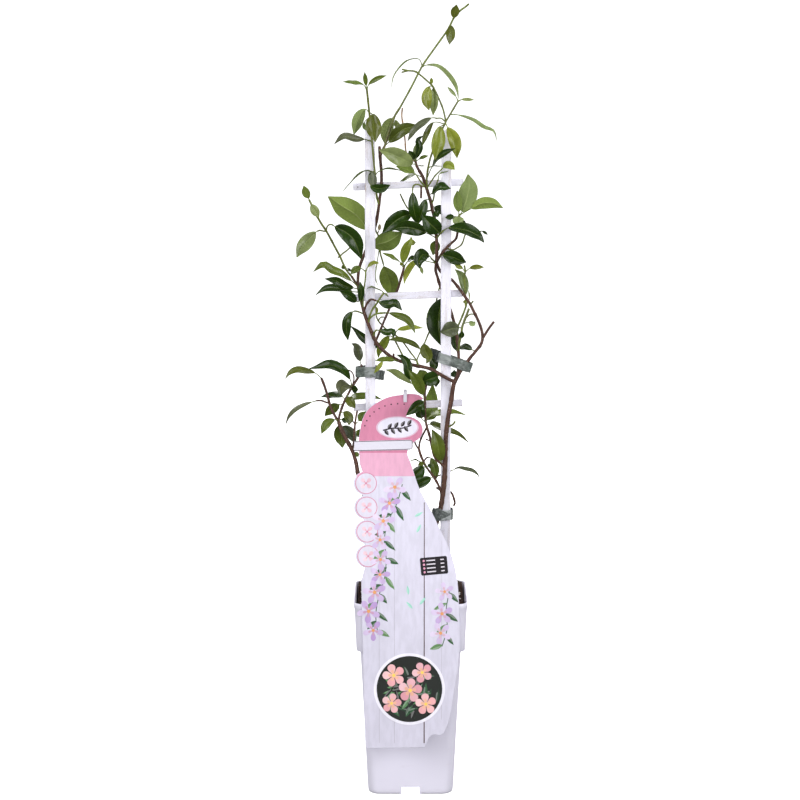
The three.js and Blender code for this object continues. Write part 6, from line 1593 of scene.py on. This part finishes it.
plan(
    "shoot_right_tall",
    stem(0.8, (15.9, 585, -1.7), (15.3, 596, -5.5), (16, 604, -6.7), (19, 617.6, -9.7), (24, 631, -12.1),
        (30, 644, -15.1), (33.8, 652, -14.7)),
    stem(0.7, (33.5, 651.3, -14.7), (30.8, 663, -15.6), (28.3, 669.5, -16.1), (24, 679, -17.2),
        (20.3, 685.5, -18.6), (16.4, 689, -19.4), (8.8, 695.5, -20.8), (4, 698.7, -21.5),
        (-3.3, 699.5, -21.7), (-8.5, 700.8, -22)),
    stem(0.6, (-2.5, 699.3, -21.6), (-9, 697.8, -20.3)),
    stem(0.7, (33.5, 651.5, -14.7), (38, 659, -15.8), (42.5, 666.5, -17.4), (45.5, 671.5, -18.5)),
    stem(0.5, (33.3, 650.7, -14.7), (29, 654.4, -16.7), (24, 654.3, -18.7)),
    stem(0.6, (15.6, 588.5, -3), (19.8, 594.5, -8), (23, 599.5, -13), (29.6, 606, -15.1)),
    leaf(10, YOUNG, (20.5, 685, -18.5), (18, 684.5, -21), (15, 673, -22.8), (17.4, 661.7, -22.6)),
    leaf(8.5, PALE, (20.8, 684.5, -18.4), (21.4, 683.5, -17.4), (22, 671), (21.2, 656.8, -15.5)),
    leaf(3, YOUNG, (20.3, 685, -18.5), (20, 687, -18.9), (19.4, 693, -20.2)),
    leaf(3, PALE, (45, 670.5, -18.3), (43, 675, -19.3), (34.6, 684.6, -21.4)),
    leaf(3, PALE, (45.3, 670.5, -18.3), (48, 672, -18.6), (60.5, 672)),
    leaf(4.8, PALE, UP_FRONT, (38.1, 658, -15.5), (44, 657.8, -16.5), (60, 652.8, -19.4), (70, 646, -19.9),
        (79, 642.5, -19.1), (82.4, 632.3, -16.9)),
    leaf(7, GREY_SHEEN, UP_FRONT, (25, 654.4, -18.2), (20, 654.8, -20.8), (12, 650.5, -23.9), (4, 644, -24.5),
        (-3.3, 632.3, -21.9)),
    leaf(5, OLIVE, (32.5, 649, -14.9), (22, 650.5, -15.9), (15, 640, -19.6), (10.7, 627.5, -18.8)),
    leaf(13, YOUNG, (32, 648, -14.9), (29, 647, -17.1), (26.5, 633, -20), (23, 614.8, -19)),
    leaf(12, YOUNG, (33, 650, -14.8), (35, 646, -17.9), (42, 633, -20), (44.3, 616.3, -18.4)),
    leaf(8, DARK, UP_FRONT, (15.7, 598, -5.7), (20, 607.5, -12.4), (28, 619, -23), (43, 626, -27.5)),
    leaf(7, YOUNG, (29, 605.5, -15), (31, 607.5, -15.4), (36, 610.3, -16), (42.2, 605.5, -15)),
    leaf(4, PALE, UP, (17, 607.5, -7.4), (22, 609.3, -10.8), (29.7, 609, -14.8)),
)
plan(
    "shoot_right_thin",
    stem(0.6, (34, 530.5, -6.6), (40.4, 528.8, -5.6), (44.4, 530.7, -2.2), (48.5, 533.5, 1),
        (50.5, 537.5, 2), (52.5, 543.5, 3), (58, 546.5, 4), (67, 546.2, 5)),
    leaf(3, DARK, UP_FRONT, (66, 546.3, 5), (68.5, 546.8), (74, 543.3, 3)),
)
plan(
    "shoot_right_mid",
    stem(0.8, (44.7, 446, -1.6), (45.8, 455, -3.5), (48.3, 461, -3), (50.3, 466, -2), (52, 470.5, 2),
        (53.6, 476, 6), (53, 482.5, 7.5), (52.2, 492), (51.7, 503, 6), (52.5, 508, 5), (51.6, 514)),
    leaf(9, PALE, (53, 481.5, 7.5), (52.8, 485, 9), (51.8, 495, 11), (48.8, 504), (42.3, 510.3, 9)),
    leaf(3, YOUNG, (53, 473.5, 4.5), (52.3, 477, 6), (52, 480.5)),
    leaf(3, YOUNG, RIGHT, (53.5, 475.5, 6), (56.5, 481.5, 9), (55.8, 490, 11)),
    leaf(4, YOUNG, (52.5, 507, 5), (50, 510.5, 4), (42, 514.5, 1.4)),
    leaf(4.5, YOUNG, (52.5, 507.5, 5), (56.5, 510.8), (63, 512.3, 3), (70.7, 512)),
)
plan(
    "shoot_right_low",
    stem(1.1, (46.3, 431, -7), (47.2, 440, -10), (49, 448), (49.7, 454, -9.5), (51.7, 460, -9),
        (54, 466, -8), (56.3, 472.3, -7)),
    stem(0.5, (52.3, 461.5, -8.8), (57.3, 466.6, -7), (61, 466.5, -6)),
    leaf(15, GREY_SHEEN, (49.6, 453, -9.6), (47, 453.7, -12), (38, 452, -16), (28.5, 449, -18)),
    leaf(5, PALE, (51, 457.5, -9.2), (56, 458.7, -9), (60, 457.5), (62.5, 459.5)),
    leaf(5, DARK, (47.2, 439.5, -10), (48.5, 443, -11), (49.9, 450.5, -14)),
)

ACROSS = (-1, -0.84, -0.6, -0.34, -0.12, 0, 0.12, 0.34, 0.6, 0.84, 1)
BLADE_STEPS = 18
BROAD_WIDTH = 8.5
BROAD_LIFT = 0.16
SLIM_LIFT = 0.1
FACING_SHARE = 0.72
STALK_RADIUS = 0.55
WOOD_PIECES = {"old_stems", "low_stems", "side_branch_upper", "side_branch_lower"}
# Shoots whose first stem is woody, and how far up each keeps its bark.
WOODY_FEET = {"shoot_centre": 1, "shoot_upper_left": 0.9, "shoot_crown": 1, "shoot_leader": 0.7}
DRY_TWIGS = {("shoot_crown", 1)}


def half_width(share):
    """How wide a leaf is at a share of its blade, from 0 to 1: elliptic, with a drawn-out tip."""
    swell = math.sin(math.pi * share**0.9) ** 0.72 if 0 < share < 1 else 0
    return swell * (1 - 0.34 * smoothstep(0.68, 1, share))


def upright(up, along):
    """The direction nearest to `up` that is square to `along`."""
    return (up - along * up.dot(along)).normalized()


def grow_blade(skin, width, face, route, tint, thickness, rng):
    """One leaf blade, a thin lens folded along its rib with slightly waved edges."""
    foot = route.first_span / route.length
    broad = width >= BROAD_WIDTH
    width *= 1 if broad else 1.12
    lift = (BROAD_LIFT if broad else SLIM_LIFT) * rng.uniform(0.8, 1.25)
    wave, waves = rng.uniform(0.05, 0.15), rng.uniform(1.1, 2.4)
    left_phase, right_phase = rng.uniform(0, math.tau), rng.uniform(0, math.tau)
    chance = rng.random()
    veins = round(5 + route.length * (1 - foot) / 7)
    steps = [(i / BLADE_STEPS) ** 0.95 for i in range(BLADE_STEPS + 1)]
    shares = [0.012 + 0.493 * (1 - math.cos(math.pi * step)) for step in steps]
    heads = [route.heading(foot + (1 - foot) * share) for share in shares]
    facing = min(range(len(shares)), key=lambda i: abs(shares[i] - FACING_SHARE))
    ups = {facing: upright(face, heads[facing])}
    for i in range(facing - 1, -1, -1):
        ups[i] = upright(ups[i + 1], heads[i])
    for i in range(facing + 1, len(shares)):
        ups[i] = upright(ups[i - 1], heads[i])
    rings, places = [], []
    order = [*ACROSS, *ACROSS[-2:0:-1]]
    for i, share in enumerate(shares):
        centre, up, side = route.at(foot + (1 - foot) * share), ups[i], ups[i].cross(heads[i])
        half = max(0.1, half_width(share) * width / 2)
        ring = []
        for turn, u in enumerate(order):
            out = abs(u)
            phase = left_phase if u < 0 else right_phase
            height = half * lift * (2 * (2 * out - 1.05 * out * out) - 1)
            height += half * wave * out * out * math.sin(math.tau * waves * share + phase)
            if 0 < turn < len(ACROSS) - 1:
                rib = max(0, 1 - out / 0.2) * min(0.5, half * 0.16) * (1 - 0.7 * share)
                height -= min(thickness, half) * math.sqrt(1 - u * u) + rib
            elif out == 0:
                height -= 0.1 * min(1, half / 4)
            ring.append(centre + side * (u * half) + up * height)
            places.append((0.5 + 0.5 * u, share, chance, veins / 20))
        rings.append(ring)
    below, above = len(ACROSS) - 1, len(order) - len(ACROSS) + 1
    skin.loft(rings, tint, places, [1] * below + [0] * above)


def grow_leaf(skin, entry, settings, rng):
    width, tone, face, points = entry
    value = rng.uniform(0.85, 1.1)
    warm = rng.uniform(-0.05, 0.07)
    red, green, blue = getattr(settings, tone)
    tint = (red * value * (1 + warm), green * value, blue * value * (1 - warm))
    route = Path([seen(p) for p in points])
    grow_blade(skin, width, face, route, tint, settings.blade / MM, rng)
    foot = route.first_span / route.length
    stalk = blend(tint, tuple(settings.shoot), 0.6)
    last = foot + (1 - foot) * 0.08
    reach = route.length * last
    swollen = 1 if width > 5 else 0.75

    def radius(mark):
        return STALK_RADIUS * (1 + 0.8 * swollen * math.exp(-mark / 1.2)) * (1 - 0.2 * mark / reach)

    tube(skin, route, radius, lambda mark: stalk, 6, 1.6, 2, (0, 0.15), last)


def grow_stem(skin, node, index, entry, settings, rng):
    """One stem with its bark or green skin, and a swelling at each leaf joint along it."""
    thick, points = entry
    route = Path([seen(p) for p in points])
    thick += 0.16 * (1 - smoothstep(0.8, 1.4, thick))
    woody = 1 if node in WOOD_PIECES else WOODY_FEET.get(node, 0) if index == 0 else 0
    if node == "old_stems" and thick < 1:
        woody = 0.2
    bark, green = tuple(settings.bark), tuple(settings.shoot)
    tone = blend(green, bark, woody if woody else rng.uniform(0, 0.3))
    if (node, index) in DRY_TWIGS:
        tone, woody = linear(150, 118, 86), 0.6
    joints = []
    mark = rng.uniform(8, 22)
    while mark < route.length - 4:
        joints.append(mark)
        mark += rng.uniform(18, 34)
    seed = rng.uniform(0, 50)
    young = index == 0 and node == "shoot_leader"

    def radius(at):
        swell = sum(math.exp(-(((at - joint) / 1.5) ** 2)) for joint in joints)
        knobs = noise.noise(Vector((at / 5, seed, 0))) * 0.1 * (0.4 + woody)
        return thick * (1 + 0.2 * swell + knobs)

    def tint_at(at):
        patch = 0.5 + 0.5 * noise.noise(Vector((at / 14, seed, 3)))
        faded = blend(tone, green, at / route.length * 0.7) if young else tone
        return blend(faded, blend(faded, (0.02, 0.015, 0.012), 0.5), patch * (0.15 + 0.25 * woody))

    tube(skin, route, radius, tint_at, 10 if thick > 1 else 8, 2.2, 2, (seed / 50, woody))


def make_growth(node, settings, seed):
    """One leafy stem or shoot as a single piece that stands for its node."""
    rng, skin = random.Random(seed), Skin()
    for index, part in enumerate(PLAN[node]):
        if len(part) == 2:
            grow_stem(skin, node, index, part, settings, rng)
        else:
            grow_leaf(skin, part, settings, rng)
    finishes = [made_once(maker) for maker in (leaf_upper, leaf_lower, stem_bark)]
    slot = "leafy_wood" if node in WOOD_PIECES else "leafy_shoot"
    skin.piece("jasmine_" + node, finishes, slot, [node], 75)


# ---- Stage ----


def make_room(settings):
    """A white round room with a coved wall: only the camera sees it, so it lights nothing."""
    wide, high, bend, sides = 5200, 5600, 1200, 48
    cove = [around(math.pi / 2 * step / 12) * bend for step in range(13)]
    line = [(0, 0), *((wide - bend + p.y, bend - p.x) for p in cove), (wide, high), (0, high)]
    points, faces = [], []
    for turn in range(sides):
        out = around(math.tau * turn / sides)
        points += [(r * out.x, r * out.y, z) for r, z in line]
        this, following = turn * len(line), (turn + 1) % sides * len(line)
        faces += [
            (this + i, following + i, following + i + 1, this + i + 1) for i in range(len(line) - 1)
        ]
    mesh = plain_mesh("studio_room", points, faces)
    mesh.materials.append(made_once(studio_white, settings))
    room = placed("studio_room", mesh)
    for ray in ("diffuse", "glossy", "transmission", "volume_scatter", "shadow"):
        setattr(room, "visible_" + ray, False)


def aim(made, place, target):
    """Puts a lamp or camera at a place and turns it to a target."""
    made.location = place
    made.rotation_euler = (Vector(target) - Vector(place)).to_track_quat("-Z", "Y").to_euler()


def make_stage(settings):
    """The white room, soft lights all round and the camera."""
    make_room(settings)
    scene = bpy.context.scene
    lamps = (
        ("key", (-1.9, -1.95, 1.3), 1.3, 1.16),
        ("side", (1.95, -1.9, 1.2), 1.3, 1.12),
        ("top", (0.1, -0.3, 2.3), 1.2, 0.4),
        ("front", (0.1, -2.8, 0.9), 1.6, 0.8),
        ("back_left", (-1.9, 1.7, 1.3), 1.5, 1.25),
        ("back_right", (1.9, 1.7, 1.3), 1.5, 1.25),
    )
    for name, place, size, share in lamps:
        lamp = bpy.data.lights.new("soft_" + name, "AREA")
        lamp.shape = "SQUARE"
        lamp.size = size
        lamp.energy = settings.power * share
        aim(placed(lamp.name, lamp), place, (0, 0, 0.38))

    scene.world = bpy.data.worlds.new("plain_surround")
    scene.world.use_nodes = True
    surround = scene.world.node_tree.nodes["Background"].inputs
    surround["Color"].default_value = (1, 1, 1, 1)
    surround["Strength"].default_value = settings.fill
    scene.view_settings.view_transform = "Standard"

    view = bpy.data.cameras.new("view")
    view.lens, view.sensor_width = LENS, SENSOR
    scene.camera = placed("view", view)
    aim(scene.camera, EYE * MM, AIM * MM)


# ---- Operators and panel ----


class JASMINE_OT_pot(Operator):
    """Build the square climber pot"""

    bl_idname = "jasmine.pot"
    bl_label = "Pot"

    def execute(self, context):
        make_pot(context.scene.jasmine_pot)
        return {"FINISHED"}


class JASMINE_OT_soil(Operator):
    """Build the soil with its crumbs, perlite and root fibres"""

    bl_idname = "jasmine.soil"
    bl_label = "Soil"

    def execute(self, context):
        make_soil(context.scene.jasmine_pot)
        return {"FINISHED"}


class JASMINE_OT_ladder(Operator):
    """Build the ladder's stiles, rungs and nails"""

    bl_idname = "jasmine.ladder"
    bl_label = "Ladder"

    def execute(self, context):
        make_ladder(context.scene.jasmine_ladder)
        return {"FINISHED"}


class JASMINE_OT_ties(Operator):
    """Build the tape ties"""

    bl_idname = "jasmine.ties"
    bl_label = "Ties"

    def execute(self, context):
        make_ties(context.scene.jasmine_ladder)
        return {"FINISHED"}


class JASMINE_OT_label(Operator):
    """Build the care card, its print, its paper strip and its clip"""

    bl_idname = "jasmine.label"
    bl_label = "Label"

    def execute(self, context):
        make_label(context.scene.jasmine_label)
        return {"FINISHED"}


class JASMINE_OT_stems(Operator):
    """Build the old and the low stems with their leaves"""

    bl_idname = "jasmine.stems"
    bl_label = "Old stems"

    def execute(self, context):
        for seed, node in enumerate(list(PLAN)[:2], 1):
            make_growth(node, context.scene.jasmine_plant, seed)
        return {"FINISHED"}


class JASMINE_OT_shoots(Operator):
    """Build the leafy shoots and side branches"""

    bl_idname = "jasmine.shoots"
    bl_label = "Shoots"

    def execute(self, context):
        for seed, node in enumerate(list(PLAN)[2:], 10):
            make_growth(node, context.scene.jasmine_plant, seed)
        return {"FINISHED"}


class JASMINE_OT_stage(Operator):
    """Build the room, the lights and the camera"""

    bl_idname = "jasmine.stage"
    bl_label = "Stage"

    def execute(self, context):
        make_stage(context.scene.jasmine_stage)
        return {"FINISHED"}


class JASMINE_PT_panel(Panel):
    """The build steps and their settings"""

    bl_idname = "JASMINE_PT_panel"
    bl_label = "Potted star jasmine"
    bl_space_type = "VIEW_3D"
    bl_region_type = "UI"
    bl_category = "Jasmine"

    def draw(self, context):
        for group in GROUPS:
            settings = getattr(context.scene, group)
            for name in settings.__annotations__:
                self.layout.prop(settings, name)
        for step in STEPS:
            self.layout.operator(step.bl_idname)


GROUPS = {
    "jasmine_pot": PotSettings,
    "jasmine_ladder": LadderSettings,
    "jasmine_label": LabelSettings,
    "jasmine_plant": PlantSettings,
    "jasmine_stage": StageSettings,
}
STEPS = (
    JASMINE_OT_pot, JASMINE_OT_soil, JASMINE_OT_ladder, JASMINE_OT_ties, JASMINE_OT_label,
    JASMINE_OT_stems, JASMINE_OT_shoots, JASMINE_OT_stage,
)


def register():
    for kind in (*GROUPS.values(), *STEPS, JASMINE_PT_panel):
        bpy.utils.register_class(kind)
    for name, kind in GROUPS.items():
        setattr(bpy.types.Scene, name, PointerProperty(type=kind))


def unregister():
    for name in GROUPS:
        delattr(bpy.types.Scene, name)
    for kind in (JASMINE_PT_panel, *reversed(STEPS), *reversed(GROUPS.values())):
        bpy.utils.unregister_class(kind)


def main():
    register()
    for step in STEPS:
        group, name = step.bl_idname.split(".")
        getattr(getattr(bpy.ops, group), name)()


if __name__ == "__main__":
    main()
